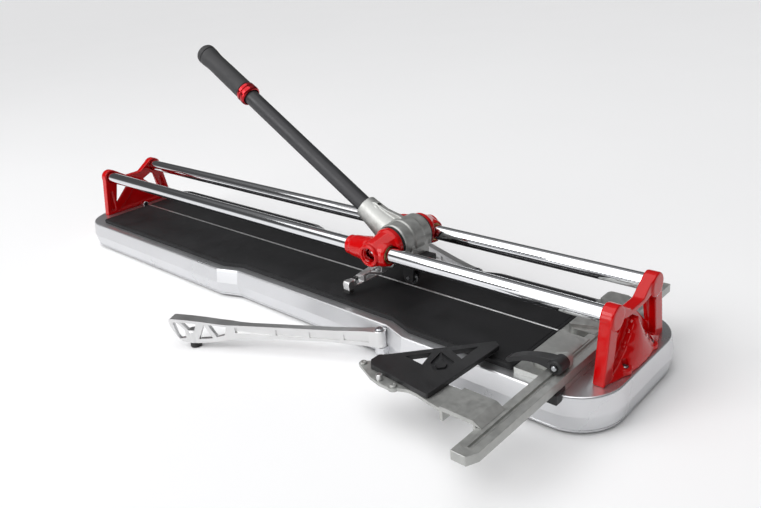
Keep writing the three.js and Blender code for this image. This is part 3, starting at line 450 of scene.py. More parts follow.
class Finishes:
    """The materials, one for each slot, made once."""

    def __init__(self) -> None:
        """Builds every slot's material."""
        self.materials = {slot.value.name: slot.value.build() for slot in Slot}

    def dress(self, body: Body, slot: str) -> None:
        """Gives a body the material of a slot."""
        body.data.materials.clear()
        body.data.materials.append(self.materials[slot])

    def dress_frame(self) -> None:
        """Gives each node of the frame the material of its own slot."""
        for row in frame["record"]["subparts"]:
            self.dress(frame["nodes"][row["node"]], row["material_slot"])


# ---- Workbench -----------------------------------------------------------------------------------

SOFTENING = 0.5
FLAT_WITHIN = 0.5


class Workbench:
    """Makes solids in machine millimetres with the usual modelling operators."""

    def clear_selection(self) -> None:
        """Leaves edit mode with nothing selected."""
        if bpy.context.object and bpy.context.object.mode != "OBJECT":
            bpy.ops.object.mode_set(mode="OBJECT")
        bpy.ops.object.select_all(action="DESELECT")

    def pick(self, *bodies: Body) -> Body:
        """Selects bodies, with the first one active.

        Args:
            *bodies: The bodies to select.

        Returns:
            The first body.
        """
        self.clear_selection()
        for body in bodies:
            body.select_set(True)
        bpy.context.view_layer.objects.active = bodies[0]
        return bodies[0]

    def edit(self, body: Body, *steps: Callable[[], object]) -> Body:
        """Runs operators on the whole of a body in edit mode.

        Args:
            body: The body to shape.
            *steps: The operators, in order.

        Returns:
            The body.
        """
        self.pick(body)
        bpy.ops.object.mode_set(mode="EDIT")
        bpy.ops.mesh.select_all(action="SELECT")
        for step in steps:
            step()
        bpy.ops.object.mode_set(mode="OBJECT")
        return body

    def apply(self, body: Body, kind: str, **settings: object) -> Body:
        """Adds a modifier and applies it.

        Args:
            body: The body.
            kind: The modifier's type.
            **settings: Its settings.

        Returns:
            The body.
        """
        self.pick(body)
        modifier = body.modifiers.new(kind.lower(), kind)
        for name, value in settings.items():
            setattr(modifier, name, value)
        bpy.ops.object.modifier_apply(modifier=modifier.name)
        return body

    def loft(self, rings: Sequence[Ring]) -> Body:
        """A closed solid through rings that all have the same number of points.

        Args:
            rings: The rings, in order. A ring may shrink to one place.

        Returns:
            The solid.
        """
        self.clear_selection()
        across = len(rings[0])
        bpy.ops.mesh.primitive_grid_add(x_subdivisions=across, y_subdivisions=len(rings) - 1)
        body = bpy.context.object
        points = body.data.vertices
        for row, ring in enumerate(rings):
            for column in range(across + 1):
                points[row * (across + 1) + column].co = DATUM.metres(ring[column % across])
        body.location = (0, 0, 0)
        return self.edit(
            body,
            lambda: bpy.ops.mesh.remove_doubles(threshold=WELD),
            lambda: bpy.ops.mesh.select_all(action="DESELECT"),
            lambda: bpy.ops.mesh.select_non_manifold(),
            lambda: bpy.ops.mesh.fill_holes(sides=0),
            lambda: bpy.ops.mesh.select_all(action="SELECT"),
            lambda: bpy.ops.mesh.normals_make_consistent(inside=False),
        )

    def prism(self, outline: Sequence[Pair], axis: Axis, low: float, high: float) -> Body:
        """A flat shape drawn across an axis and extruded along it.

        Args:
            outline: Its points.
            axis: The direction of the extrusion.
            low: Where it starts.
            high: Where it ends.

        Returns:
            The solid.
        """
        return self.loft([[axis.place(u, v, along) for u, v in outline] for along in (low, high)])

    def block(self, low: Triple, high: Triple) -> Body:
        """A block between two corners."""
        outline = [(low[0], low[1]), (high[0], low[1]), (high[0], high[1]), (low[0], high[1])]
        return self.prism(outline, Axis.Z, low[2], high[2])

    def turned(self, profile: Sequence[Pair], axis: Axis, centre: Pair, sides: int = 96) -> Body:
        """A round body.

        Args:
            profile: Its [place along the axis, radius] points.
            axis: Its axis.
            centre: Where the axis stands.
            sides: How many sides it has.

        Returns:
            The solid.
        """
        angles = [2 * math.pi * i / sides for i in range(sides)]
        return self.loft([
            [axis.place(centre[0] + radius * math.cos(a), centre[1] + radius * math.sin(a), along)
             for a in angles]
            for along, radius in profile
        ])

    def bar(self, axis: Axis, centre: Pair, radius: float, low: float, high: float,
            sides: int = 64) -> Body:
        """A plain round bar."""
        return self.turned([(low, radius), (high, radius)], axis, centre, sides)

    def copy_of(self, node: str) -> Body:
        """A copy of a node of the frame with whole flat faces, ready to be shaped.

        Args:
            node: The node.

        Returns:
            The copy.
        """
        source = frame["nodes"][node]
        body = bpy.data.objects.new(node + "_copy", source.data.copy())
        bpy.context.scene.collection.objects.link(body)
        return self.edit(
            body,
            lambda: bpy.ops.mesh.remove_doubles(threshold=WELD),
            lambda: bpy.ops.mesh.dissolve_limited(angle_limit=math.radians(FLAT_WITHIN)),
        )

    def boolean(self, body: Body, operation: str, tools: Iterable[Body]) -> Body:
        """Joins or cuts a body with tools, which are used up.

        Args:
            body: The body.
            operation: UNION, DIFFERENCE or INTERSECT.
            tools: The bodies that shape it.

        Returns:
            The body.
        """
        for tool in tools:
            self.apply(body, "BOOLEAN", operation=operation, object=tool, solver="EXACT")
            bpy.data.objects.remove(tool, do_unlink=True)
        return body

    def cut(self, body: Body, *tools: Body) -> Body:
        """Cuts tools away from a body."""
        return self.boolean(body, "DIFFERENCE", tools)

    def unite(self, body: Body, *others: Body) -> Body:
        """Makes one solid of several."""
        return self.boolean(body, "UNION", others)

    def trim(self, body: Body, kept: Body) -> Body:
        """Leaves what lies inside another body."""
        return self.boolean(body, "INTERSECT", [kept])

    def gather(self, *bodies: Body) -> Body:
        """Puts bodies into one mesh without joining their surfaces."""
        self.pick(*bodies)
        if len(bodies) > 1:
            bpy.ops.object.join()
        return bodies[0]

    def fuse(self, body: Body, grain: float) -> Body:
        """Makes one skin round solids that overlap, with a mesh of this size in millimetres."""
        return self.apply(body, "REMESH", mode="VOXEL", voxel_size=grain * MM)

    def cast(self, body: Body, grain: float, rounds: int) -> Body:
        """Turns sharp solids into one casting with soft edges and fillets.

        Args:
            body: The solids, which may overlap.
            grain: The size of the surface's mesh, in millimetres.
            rounds: How many times it is smoothed.

        Returns:
            The casting.
        """
        self.fuse(body, grain)
        return self.apply(body, "SMOOTH", factor=SOFTENING, iterations=rounds)

    def bevel(self, body: Body, width: float, segments: int = 2, angle: float = 30) -> Body:
        """Rounds the edges that are sharper than an angle."""
        return self.apply(
            body, "BEVEL", width=width * MM, segments=segments, limit_method="ANGLE",
            angle_limit=math.radians(angle), use_clamp_overlap=True,
        )

    def turn(self, body: Body, axis: Axis, degrees: float, about: Triple) -> Body:
        """Turns a body about an axis through a point."""
        centre = DATUM.metres(about)
        return self.move(body, (
            Matrix.Translation(centre)
            @ Matrix.Rotation(math.radians(degrees), 4, axis.name)
            @ Matrix.Translation(-centre)
        ))

    def move(self, body: Body, matrix: Matrix) -> Body:
        """Moves a body's mesh and leaves the object at the origin."""
        self.pick(body)
        body.matrix_world = matrix @ body.matrix_world
        bpy.ops.object.transform_apply(location=True, rotation=True, scale=True)
        return body

    def mirrored(self, body: Body, axis: Axis = Axis.Y, at: float = 0.0) -> Body:
        """A mirrored copy of a body.

        Args:
            body: The body, which stays.
            axis: The axis that is turned round.
            at: Where the mirror stands on it.

        Returns:
            The copy.
        """
        twin = body.copy()
        twin.data = body.data.copy()
        bpy.context.scene.collection.objects.link(twin)
        factors = [1.0, 1.0, 1.0]
        factors[axis.value] = -1.0
        place = DATUM.metres((at, at, at))
        offset = Vector([2 * place[i] if i == axis.value else 0.0 for i in range(3)])
        self.move(twin, Matrix.Translation(offset) @ Matrix.Diagonal((*factors, 1.0)))
        return self.edit(twin, lambda: bpy.ops.mesh.normals_make_consistent(inside=False))

    def smooth(self, body: Body, angle: float = 32) -> Body:
        """Shades a body smooth across edges under an angle."""
        self.pick(body)
        bpy.ops.object.shade_smooth_by_angle(angle=math.radians(angle))
        return body


BENCH = Workbench()


@dataclass
class SubAssembly:
    """A group of pieces that are made and dressed together."""

    finishes: Finishes
    organic: ClassVar[float] = 45.0

    def place(self, body: Body, name: str, slot: str, rides_on: str, *nodes: str,
              angle: float = 32) -> Body:
        """Names, dresses and hands over a finished piece.

        Args:
            body: The finished body.
            name: The piece's name.
            slot: Its material slot.
            rides_on: The body of the frame that it moves with.
            *nodes: The nodes that it stands for.
            angle: Edges under this angle are shaded smooth. Below the organic angle its flat
                faces are shaded flat.

        Returns:
            The piece.
        """
        BENCH.smooth(body, angle)
        if angle < self.organic:
            BENCH.apply(body, "WEIGHTED_NORMAL", keep_sharp=True)
        body.name = name
        body.data.name = name
        self.finishes.dress(body, slot)
        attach(body, rides_on)
        if nodes:
            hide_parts(*nodes)
        LOG.info("%s: %d faces", name, len(body.data.polygons))
        return body


# ---- Base and table ------------------------------------------------------------------------------


@dataclass
class Base(SubAssembly):
    """The cast base with its leaning walls, ribs, feet and arm shelves."""

    ridge: float = 4.0
    waist_depth: float = 12.0
    waist: Pair = (-57.0, 256.0)
    waist_slope: float = 37.0
    corner: float = 56.0
    wall: float = 5.0
    rib: float = 4.0
    foot_radius: float = 12.0
    shelf_depth: float = 9.0
    shelf_half_width: float = 8.0
    shelf_root: float = 88.0
    cell: float = 100.0
    profile: tuple[Pair, ...] = (
        (4.0, -0.8), (4.5, 0.1), (6.6, 0.5), (7.2, -0.3), (7.9, 0.8), (25.3, 3.75), (26.0, 3.95),
        (26.7, 3.75), (43.0, 1.2), (46.4, 0.5), (47.4, 0.0), (48.0, -1.2),
    )

    def outline(self, inset: float) -> list[Pair]:
        """The base seen from above.

        Args:
            inset: How far inside the edge of the deck.

        Returns:
            Its points.
        """
        low, high = DATUM.box("base_casting")
        left, right = low.x + self.ridge + inset, high.x - self.ridge - inset
        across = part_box("base_casting")[1].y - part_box("base_casting")[0].y
        wide = across / MM / 2 - self.ridge - inset
        narrow = wide - self.waist_depth
        radius = self.corner - inset
        front = [
            (self.waist[0] - self.waist_slope, -wide), (self.waist[0], -narrow),
            (self.waist[1], -narrow), (self.waist[1] + self.waist_slope, -wide),
        ]
        rear = [(x, -y) for x, y in reversed(front)]
        steps = 16
        return [
            *front,
            *arc((right - radius, -wide + radius), radius, -90, 0, steps),
            *arc((right - radius, wide - radius), radius, 0, 90, steps),
            *rear,
            *arc((left + radius, wide - radius), radius, 90, 180, steps),
            *arc((left + radius, -wide + radius), radius, 180, 270, steps),
        ]

    def build(self) -> None:
        """Makes the base and its feet."""
        shell = BENCH.loft([
            [(x, y, z) for x, y in self.outline(-offset)] for z, offset in self.profile
        ])
        BENCH.cut(shell, self.hollow())
        BENCH.unite(shell, *self.shelves(), *self.columns())
        BENCH.cut(shell, *self.pin_holes())
        BENCH.bevel(shell, 0.5, 2, 14)
        self.place(shell, "cast_base", "silver_paint", "base", "base_casting", angle=16)
        for node in FEET:
            self.foot(node)

    def hollow(self) -> Body:
        """The open cells under the deck."""
        low, high = DATUM.box("base_casting")
        deck = self.profile[-1][0]
        inside = BENCH.prism(self.outline(self.wall), Axis.Z, 0, deck - self.wall)
        half = self.rib / 2
        ribs = [BENCH.block((low.x, -half, -1), (high.x, half, deck))]
        cells = round((high.x - low.x) / self.cell)
        pitch = (high.x - low.x) / cells
        for index in range(1, cells):
            x = low.x + index * pitch
            ribs.append(BENCH.block((x - half, -130, -1), (x + half, 130, deck)))
        return BENCH.cut(inside, *ribs)

    def shelf_places(self) -> list[Triple]:
        """The hinge place and top of each arm shelf."""
        places = []
        for pin in ("front_arm_pin", "rear_arm_pin"):
            low, high = DATUM.box(pin)
            places.append(((low.x + high.x) / 2, (low.y + high.y) / 2, low.z + self.shelf_depth))
        return places

    def shelves(self) -> list[Body]:
        """The tongues that carry the swing arms."""
        tongues = []
        for x, y, top in self.shelf_places():
            side = math.copysign(1, y)
            half = self.shelf_half_width
            tip = [(x + u, y + side * v) for u, v in arc((0, 0), half, 0, 180, 24)]
            root = [(x - half, side * self.shelf_root), (x + half, side * self.shelf_root)]
            tongues.append(BENCH.prism([*tip, *root], Axis.Z, top - self.shelf_depth, top))
        return tongues

    def pin_holes(self) -> list[Body]:
        """The holes for the hinge pins."""
        return [BENCH.bar(Axis.Z, (x, y), HINGE_BORE, top - 10, top + 1, 32)
                for x, y, top in self.shelf_places()]

    def columns(self) -> list[Body]:
        """The hollow columns that hold the feet's studs."""
        made = []
        for node in FEET:
            centre, end = DATUM.centre(node)[:2], DATUM.box(node)[1].z + 1
            column = BENCH.bar(Axis.Z, centre, self.foot_radius - 2, 4, 46, 40)
            made.append(BENCH.cut(column, BENCH.bar(Axis.Z, centre, PIN_BORE, 3, end, 24)))
        return made

    def foot(self, node: str) -> None:
        """A turned rubber foot with a groove, a rim and a recess underneath."""
        high = DATUM.box(node)[1]
        radius = self.foot_radius
        profile = [
            (0.6, 0.0), (0.6, 4.5), (0.0, 5.5), (0.0, radius - 2.4), (0.5, radius - 1.7),
            (1.6, radius - 1.2), (2.0, radius - 1.9), (2.4, radius - 1.1), (3.4, radius - 0.5),
            (3.9, radius - 0.9), (4.0, radius - 2.5), (4.0, 3.0), (high.z - 0.6, 3.0),
            (high.z, 2.4), (high.z, 0.0),
        ]
        body = BENCH.turned(profile, Axis.Z, DATUM.centre(node)[:2], 64)
        self.place(body, node.replace("foot_", "rubber_foot_"), "foot_rubber", "base", node)


@dataclass
class Table(SubAssembly):
    """The two black pads and the breaking rib between them."""

    groove_in: float = 4.2
    groove_width: float = 1.2
    groove_depth: float = 0.5
    end_corner: float = 6.0

    def outline(self, base: Base, inset: float) -> list[Pair]:
        """The front pad seen from above.

        Args:
            base: The base, whose waist the pad follows.
            inset: How far inside the pad's edge.

        Returns:
            Its points.
        """
        low, high = DATUM.box("front_pad")
        left, right = low.x + inset, high.x - inset
        inner = high.y - 0.1 * inset
        outer = low.y + inset
        radius = max(1.5, self.end_corner - inset * 0.5)
        waist = outer + base.waist_depth
        return [
            (left, inner),
            *arc((left + radius, outer + radius), radius, 180, 270, 6),
            (base.waist[0] - base.waist_slope, outer), (base.waist[0], waist),
            (base.waist[1], waist), (base.waist[1] + base.waist_slope, outer),
            *arc((right - radius, outer + radius), radius, 270, 360, 6),
            (right, inner),
        ]

    def build(self) -> None:
        """Makes the pads and the rib."""
        base = Base(self.finishes)
        bottom, top = DATUM.box("front_pad")[0].z, DATUM.box("front_pad")[1].z
        edge, floor = self.groove_in, top - self.groove_depth
        steps = [
            (bottom, 0.3), (bottom + 0.3, 0.0), (top - 1.6, 0.0), (top - 0.7, 0.3),
            (top - 0.15, 1.0), (top, 1.9), (top, edge), (floor, edge + 0.25),
            (floor, edge + self.groove_width - 0.25), (top, edge + self.groove_width),
        ]
        front = BENCH.loft([
            [(x, y, z) for x, y in self.outline(base, inset)] for z, inset in steps
        ])
        rear = BENCH.mirrored(front)
        self.place(front, "front_rubber_pad", "pad_rubber", "base", "front_pad")
        self.place(rear, "rear_rubber_pad", "pad_rubber", "base", "rear_pad")
        rib = BENCH.bevel(BENCH.copy_of("breaking_rib"), 0.5, 3)
        self.place(rib, "breaking_rib_bar", "bright_aluminium", "base", "breaking_rib")


# ---- Rods and supports ---------------------------------------------------------------------------


@dataclass
class Rods(SubAssembly):
    """The two ground rods and the parking magnet."""

    chamfer: float = 1.0

    def build(self) -> None:
        """Makes the rods and the magnet."""
        for node in ("front_guide_rod", "rear_guide_rod"):
            low, high = DATUM.box(node)
            radius = (high.z - low.z) / 2
            centre = ((low.y + high.y) / 2, (low.z + high.z) / 2)
            rod = BENCH.turned([
                (low.x, 0.0), (low.x, radius - self.chamfer), (low.x + self.chamfer, radius),
                (high.x - self.chamfer, radius), (high.x, radius - self.chamfer), (high.x, 0.0),
            ], Axis.X, centre, 160)
            self.place(rod, node.replace("_guide", "_ground"), "chrome", "base", node)
        self.magnet()

    def magnet(self) -> None:
        """A bright cup on a low foot, with the magnet sunk in its mouth."""
        low, high = DATUM.box("parking_magnet")
        radius = (high.z - low.z) / 2
        centre = (0.0, low.z + radius)
        cup = BENCH.turned([
            (low.x + 1, 0.0), (low.x + 1, radius - 1.5), (low.x + 2.5, radius - 0.1),
            (high.x - 1.5, radius - 0.1), (high.x - 0.8, radius - 0.8),
            (high.x - 0.8, radius - 1.8), (high.x - 3.5, radius - 2.0), (high.x - 3.5, 0.0),
        ], Axis.X, centre, 64)
        saddle = BENCH.block((low.x + 2, -radius, low.z), (high.x - 3, radius, low.z + 2.5))
        BENCH.bevel(BENCH.unite(cup, saddle), 0.4, 2)
        self.place(cup, "parking_magnet_cup", "chrome", "base", "parking_magnet")
        disc = BENCH.turned([
            (high.x - 3.4, 0.0), (high.x - 3.4, radius - 2.3), (high.x - 1.8, radius - 2.3),
            (high.x - 1.4, radius - 2.8), (high.x - 1.4, 0.0),
        ], Axis.X, centre, 48)
        self.place(disc, "parking_magnet_disc", "black_plastic", "base")


@dataclass
class Supports(SubAssembly):
    """The two red castings that hold the rods: legs, a saddle, a bulging shield and two windows."""

    foot_half_width: float = 72.0
    rim: float = 19.0
    web: float = 5.0
    thickness: float = 13.5
    saddle_drop: float = 5.0
    shield_top: float = 100.0
    shield_control: Pair = (25.0, 60.0)
    lug_radius: float = 8.0
    lug_at: float = 32.0
    screw_bore: float = 4.1
    grain: float = 0.85
    pocket: float = 2.6
    window: tuple[Pair, ...] = ((17.0, 99.0), (36.0, 107.0), (40.0, 104.0), (49.0, 68.0))

    def build(self) -> None:
        """Makes the right support and its mirror image at the left end."""
        self.inner = DATUM.box("right_support")[0].x
        self.foot = DATUM.box("right_support")[0].z
        rod_low, rod_high = DATUM.box("rear_guide_rod")
        self.rod_y = (rod_low.y + rod_high.y) / 2
        self.rod_z = (rod_low.z + rod_high.z) / 2
        self.boss = DATUM.box("right_support")[1].z - self.rod_z
        self.face = self.inner + self.thickness
        right = self.casting()
        middle = (DATUM.box("left_support")[0].x + DATUM.box("right_support")[1].x) / 2
        left = BENCH.mirrored(right, Axis.X, middle)
        self.place(right, "right_end_support", "red_enamel", "base", "right_support", angle=50)
        self.place(left, "left_end_support", "red_enamel", "base", "left_support", angle=50)
        for node in ("left_support_screw", "right_support_screw"):
            for end in ("front", "rear"):
                self.screw(f"{node}_{end}")

    def outline(self) -> list[Pair]:
        """The whole face: feet, bosses and the saddle between them."""
        y, z, radius = self.rod_y, self.rod_z, self.boss
        saddle = z - self.saddle_drop
        rear = [
            (self.foot_half_width, self.foot),
            *arc((y, z), radius, -10, 125, 28),
            *curve([(15.0, saddle + 0.6), (12.0, saddle), (8.0, saddle)], 4),
        ]
        return [*rear, *mirror(rear)]

    def dish(self) -> list[Pair]:
        """The sunken part of the outer face."""
        y, z, rim = self.rod_y, self.rod_z, self.rim
        slant = (self.foot_half_width - y - self.boss) / (z - self.foot)

        def edge(height: float) -> float:
            return self.foot_half_width - slant * (height - self.foot) - rim
        rear = [
            (edge(self.foot + 3), self.foot + 3), (edge(z - self.boss), z - self.boss - 3),
            *arc((y, z), self.boss + 1.0, -75, -150, 8), (22.0, z - self.saddle_drop - 6),
            (8.0, z - self.saddle_drop - 6.5),
        ]
        return [*rear, *mirror(rear)]

    def shield_half_width(self, height: float) -> float:
        """How far the shield reaches to each side at a height."""
        ends = (self.foot_half_width - 4, self.foot), (4.0, self.shield_top)
        points = curve([ends[0], self.shield_control, ends[1]], 40)
        return next((point for point in points if point[1] >= height), points[-1])[0]

    def shield(self) -> Body:
        """The bulging panel between the legs."""
        deep = DATUM.box("right_support")[1].x
        rings = []
        rows, columns = 18, 24
        for step in range(rows + 1):
            height = self.foot + (self.shield_top - self.foot) * step / rows
            half = self.shield_half_width(height)
            rise = (self.shield_top - height) / (self.shield_top - self.foot)
            crown = self.face + 1.0 + (deep - self.face - 1.4) * min(1.0, rise * 1.08) ** 0.85
            edge = self.face - 1.0 + 3.0 * rise * (1 - rise)
            ring = [(self.inner + 2, -half, height)]
            for part in range(columns + 1):
                turn = -1 + 2 * part / columns
                bulge = 1 - abs(turn) ** 2.2
                ring.append((edge + (crown - edge) * bulge, turn * half, height))
            ring.append((self.inner + 2, half, height))
            rings.append(ring)
        return BENCH.loft(rings)

    def casting(self) -> Body:
        """The right support."""
        inner, face = self.inner, self.face
        plate = BENCH.prism(self.outline(), Axis.X, inner, face)
        BENCH.cut(plate, BENCH.prism(self.dish(), Axis.X, inner + self.web, face + 5))
        BENCH.cut(plate, *self.inner_pockets())
        parts = [plate, self.shield()]
        for side in SIDES:
            parts.append(BENCH.turned([
                (inner, 0.0), (inner, self.boss - 0.6), (inner + 0.8, self.boss),
                (face + 0.6, self.boss), (face + 1.9, self.boss - 1.4), (face + 1.9, 0.0),
            ], Axis.X, (side * self.rod_y, self.rod_z), 72))
            lug = (face + 3, side * self.lug_at)
            parts.append(BENCH.bar(Axis.Z, lug, self.lug_radius, self.foot, self.foot + 7))
        body = BENCH.fuse(BENCH.gather(*parts), self.grain)
        windows = [BENCH.prism([(side * y, z) for y, z in self.window], Axis.X, inner - 1, face + 4)
                   for side in SIDES]
        BENCH.cut(body, BENCH.gather(*windows))
        BENCH.cast(body, self.grain, 6)
        return BENCH.cut(body, BENCH.gather(*self.bores()))

    def inner_pockets(self) -> list[Body]:
        """Shallow pockets on the side that faces the table, which leave ribs along the legs."""
        leg = [(53.0, 54.0), (64.0, 54.0), (57.0, 92.0), (53.0, 96.0)]
        panel = [
            (-44.0, 54.0), (44.0, 54.0), (20.0, 74.0), (6.0, 90.0), (-6.0, 90.0), (-20.0, 74.0),
        ]
        shapes = [leg, [(-y, z) for y, z in leg], panel]
        return [BENCH.prism(shape, Axis.X, self.inner - 1, self.inner + self.pocket)
                for shape in shapes]

    def bores(self) -> list[Body]:
        """The rods' seats with their countersinks, and the screw holes in the lugs."""
        radius = (DATUM.box("rear_guide_rod")[1].z - DATUM.box("rear_guide_rod")[0].z) / 2
        depth = DATUM.box("rear_guide_rod")[1].x - self.inner
        tools = []
        for side in SIDES:
            tools.append(BENCH.turned([
                (self.inner - 1, radius + 2.4), (self.inner + 1.2, radius + 0.4),
                (self.inner + depth + 0.3, radius + 0.4),
            ], Axis.X, (side * self.rod_y, self.rod_z), 72))
            lug = (self.face + 3, side * self.lug_at)
            tools.append(BENCH.bar(Axis.Z, lug, self.screw_bore, self.foot - 1, self.foot + 16, 40))
        return tools

    def screw(self, node: str) -> None:
        """A socket-headed screw in a lug."""
        low, high = DATUM.box(node)
        centre = DATUM.centre(node)[:2]
        body = BENCH.turned([
            (low.z, 0.0), (low.z, 3.2), (high.z - 6, 3.2), (high.z - 6, 3.5),
            (high.z - 0.6, 3.5), (high.z, 2.9), (high.z, 0.0),
        ], Axis.Z, centre, 40)
        BENCH.cut(body, BENCH.prism(hexagon(centre, 1.9), Axis.Z, high.z - 2.6, high.z + 1))
        self.place(body, node.replace("screw", "bolt"), "steel", "base", node)


# ---- Carriage and lever --------------------------------------------------------------------------


@dataclass
class Carriage(SubAssembly):
    """The two red sliders with their bushes and dust rings, and the shaft between them."""

    bore: float = 12.3
    housing_offset: float = -8.0
    housing_radius: float = 15.8
    housing_face: float = 67.0
    window_radius: float = 9.6
    flange_radius: float = 23.0
    flange_face: float = 30.1
    facets: int = 11

    def build(self) -> None:
        """Makes the rear slider, its mirror image and the small parts."""
        self.pivot = DATUM.centre("pivot_shaft")
        self.rod = DATUM.centre("rear_guide_rod")
        self.start = DATUM.box("rear_left_bush")[0].x - 1
        self.end = DATUM.box("rear_right_bush")[1].x + 1
        rear = self.slider()
        front = BENCH.mirrored(rear)
        self.place(front, "front_red_slider", "red_enamel", "carriage", "front_slider", angle=50)
        self.place(rear, "rear_red_slider", "red_enamel", "carriage", "rear_slider", angle=50)
        for node in ("front_left_bush", "front_right_bush", "rear_left_bush", "rear_right_bush"):
            self.bush(node)
        for node in ("front_dust_ring", "rear_dust_ring"):
            self.dust_ring(node)
        self.shaft()

    def facet_ring(self, centre: Pair, radius: float, y: float) -> Ring:
        """A many-sided ring across Y."""
        turns = [2 * math.pi * (i + 0.25) / self.facets for i in range(self.facets)]
        return [
            (centre[0] + radius * math.cos(turn), y, centre[1] + radius * math.sin(turn))
            for turn in turns
        ]

    def slider(self) -> Body:
        """The rear slider: a sleeve, a window housing and a flange with flat facets between."""
        x, z = self.pivot[0], self.pivot[2]
        y, height = self.rod[1], self.rod[2]
        start, end = self.start, self.end
        housing = (x + self.housing_offset, height)
        sleeve = BENCH.turned([
            (start, 0.0), (start, 12.9), (start + 0.8, 13.5), (start + 9, 13.7),
            (start + 10, 14.8), (start + 24, 16.2), (start + 36, 18.0), (end - 12, 18.0),
            (end - 4, 16.4), (end - 0.8, 15.0), (end, 14.2), (end, 0.0),
        ], Axis.X, (y, height), 72)
        ring = BENCH.turned([
            (y, 0.0), (y, self.housing_radius), (self.housing_face - 2, self.housing_radius),
            (self.housing_face, self.housing_radius - 1.8), (self.housing_face, 0.0),
        ], Axis.Y, housing, 72)
        flange = BENCH.turned([
            (28.0, 0.0), (28.0, self.flange_radius), (36.0, self.flange_radius),
            (38.4, self.flange_radius - 2), (38.4, 0.0),
        ], Axis.Y, (x, z), 72)
        skirt = BENCH.loft([
            self.facet_ring((x, z), self.flange_radius - 1.2, 37.0),
            self.facet_ring((x - 3, z - 2), self.flange_radius - 3.2, 46.0),
            self.facet_ring(housing, self.housing_radius + 1.6, 61.0),
        ])
        wing = BENCH.loft([
            [(start + 22, y - 9, height + 8), (start + 22, y - 3, height + 13),
             (start + 22, y - 9, height - 8)],
            [(x - 4, 33.0, z + 17), (x - 4, y + 6, z + 9), (x - 4, 33.0, z - 17)],
        ])
        body = BENCH.gather(sleeve, ring, flange, skirt, wing)
        BENCH.cast(body, 0.75, 4)
        bore = self.bore
        mouth = BENCH.turned([(start - 2, bore), (end + 23, bore)], Axis.X, (y, height), 72)
        flare = BENCH.turned([
            (end - 1.6, bore), (end + 0.6, bore + 1.3), (end + 0.6, 0.0),
        ], Axis.X, (y, height), 72)
        window = BENCH.turned([
            (y, self.window_radius), (self.housing_face - 3.2, self.window_radius),
            (self.housing_face - 2.6, self.window_radius + 1.2),
            (self.housing_face - 0.9, self.window_radius + 1.5),
            (self.housing_face + 1, self.window_radius + 3.4),
        ], Axis.Y, housing, 72)
        seat = BENCH.bar(Axis.Y, (x, z), SHAFT_BORE, 27, 34.1, 48)
        inner = BENCH.block((start - 5, 20, 90), (x + 40, self.flange_face, 160))
        return BENCH.cut(body, mouth, flare, window, seat, inner)

    def bush(self, node: str) -> None:
        """A bronze bush with chamfered ends."""
        low, high = DATUM.box(node)
        _, y, z = DATUM.centre(node)
        outer = (high.z - low.z) / 2 - 0.02
        bush = BENCH.turned([
            (low.x, 10.8), (low.x, outer - 0.5), (low.x + 0.5, outer), (high.x - 0.5, outer),
            (high.x, outer - 0.5), (high.x, 10.8), (high.x - 0.5, 10.3), (low.x + 0.5, 10.3),
            (low.x, 10.8),
        ], Axis.X, (y, z), 72)
        self.place(bush, node.replace("_bush", "_sleeve_bush"), "bronze", "carriage", node)

    def dust_ring(self, node: str) -> None:
        """A rubber ring with a rounded rim and a thin lip."""
        low, high = DATUM.box(node)
        x, _, z = DATUM.centre(node)
        outer, hole = (high.z - low.z) / 2, 10.0
        ring = BENCH.turned([
            (low.y, hole), (low.y, outer - 1.2), (low.y + 0.4, outer - 0.3), (low.y + 1.0, outer),
            (low.y + 1.4, outer - 0.5), (high.y - 1.4, outer - 0.5), (high.y - 1.0, outer),
            (high.y - 0.4, outer - 0.3), (high.y, outer - 1.2), (high.y, hole), (low.y, hole),
        ], Axis.Y, (x, z), 96)
        name = node.replace("_dust_ring", "_rubber_ring")
        self.place(ring, name, "foot_rubber", "carriage", node)

    def shaft(self) -> None:
        """The pivot shaft with turned ends."""
        low, high = DATUM.box("pivot_shaft")
        radius = (high.z - low.z) / 2
        shaft = BENCH.turned([
            (low.y, 0.0), (low.y, radius - 0.8), (low.y + 0.8, radius), (low.y + 3.2, radius),
            (low.y + 3.6, radius - 0.5), (low.y + 4.6, radius - 0.5), (low.y + 5.0, radius),
            (high.y - 5.0, radius), (high.y - 4.6, radius - 0.5), (high.y - 3.6, radius - 0.5),
            (high.y - 3.2, radius), (high.y - 0.8, radius), (high.y, radius - 0.8), (high.y, 0.0),
        ], Axis.Y, (self.pivot[0], self.pivot[2]), 64)
        self.place(shaft, "lever_shaft", "steel", "carriage", "pivot_shaft")


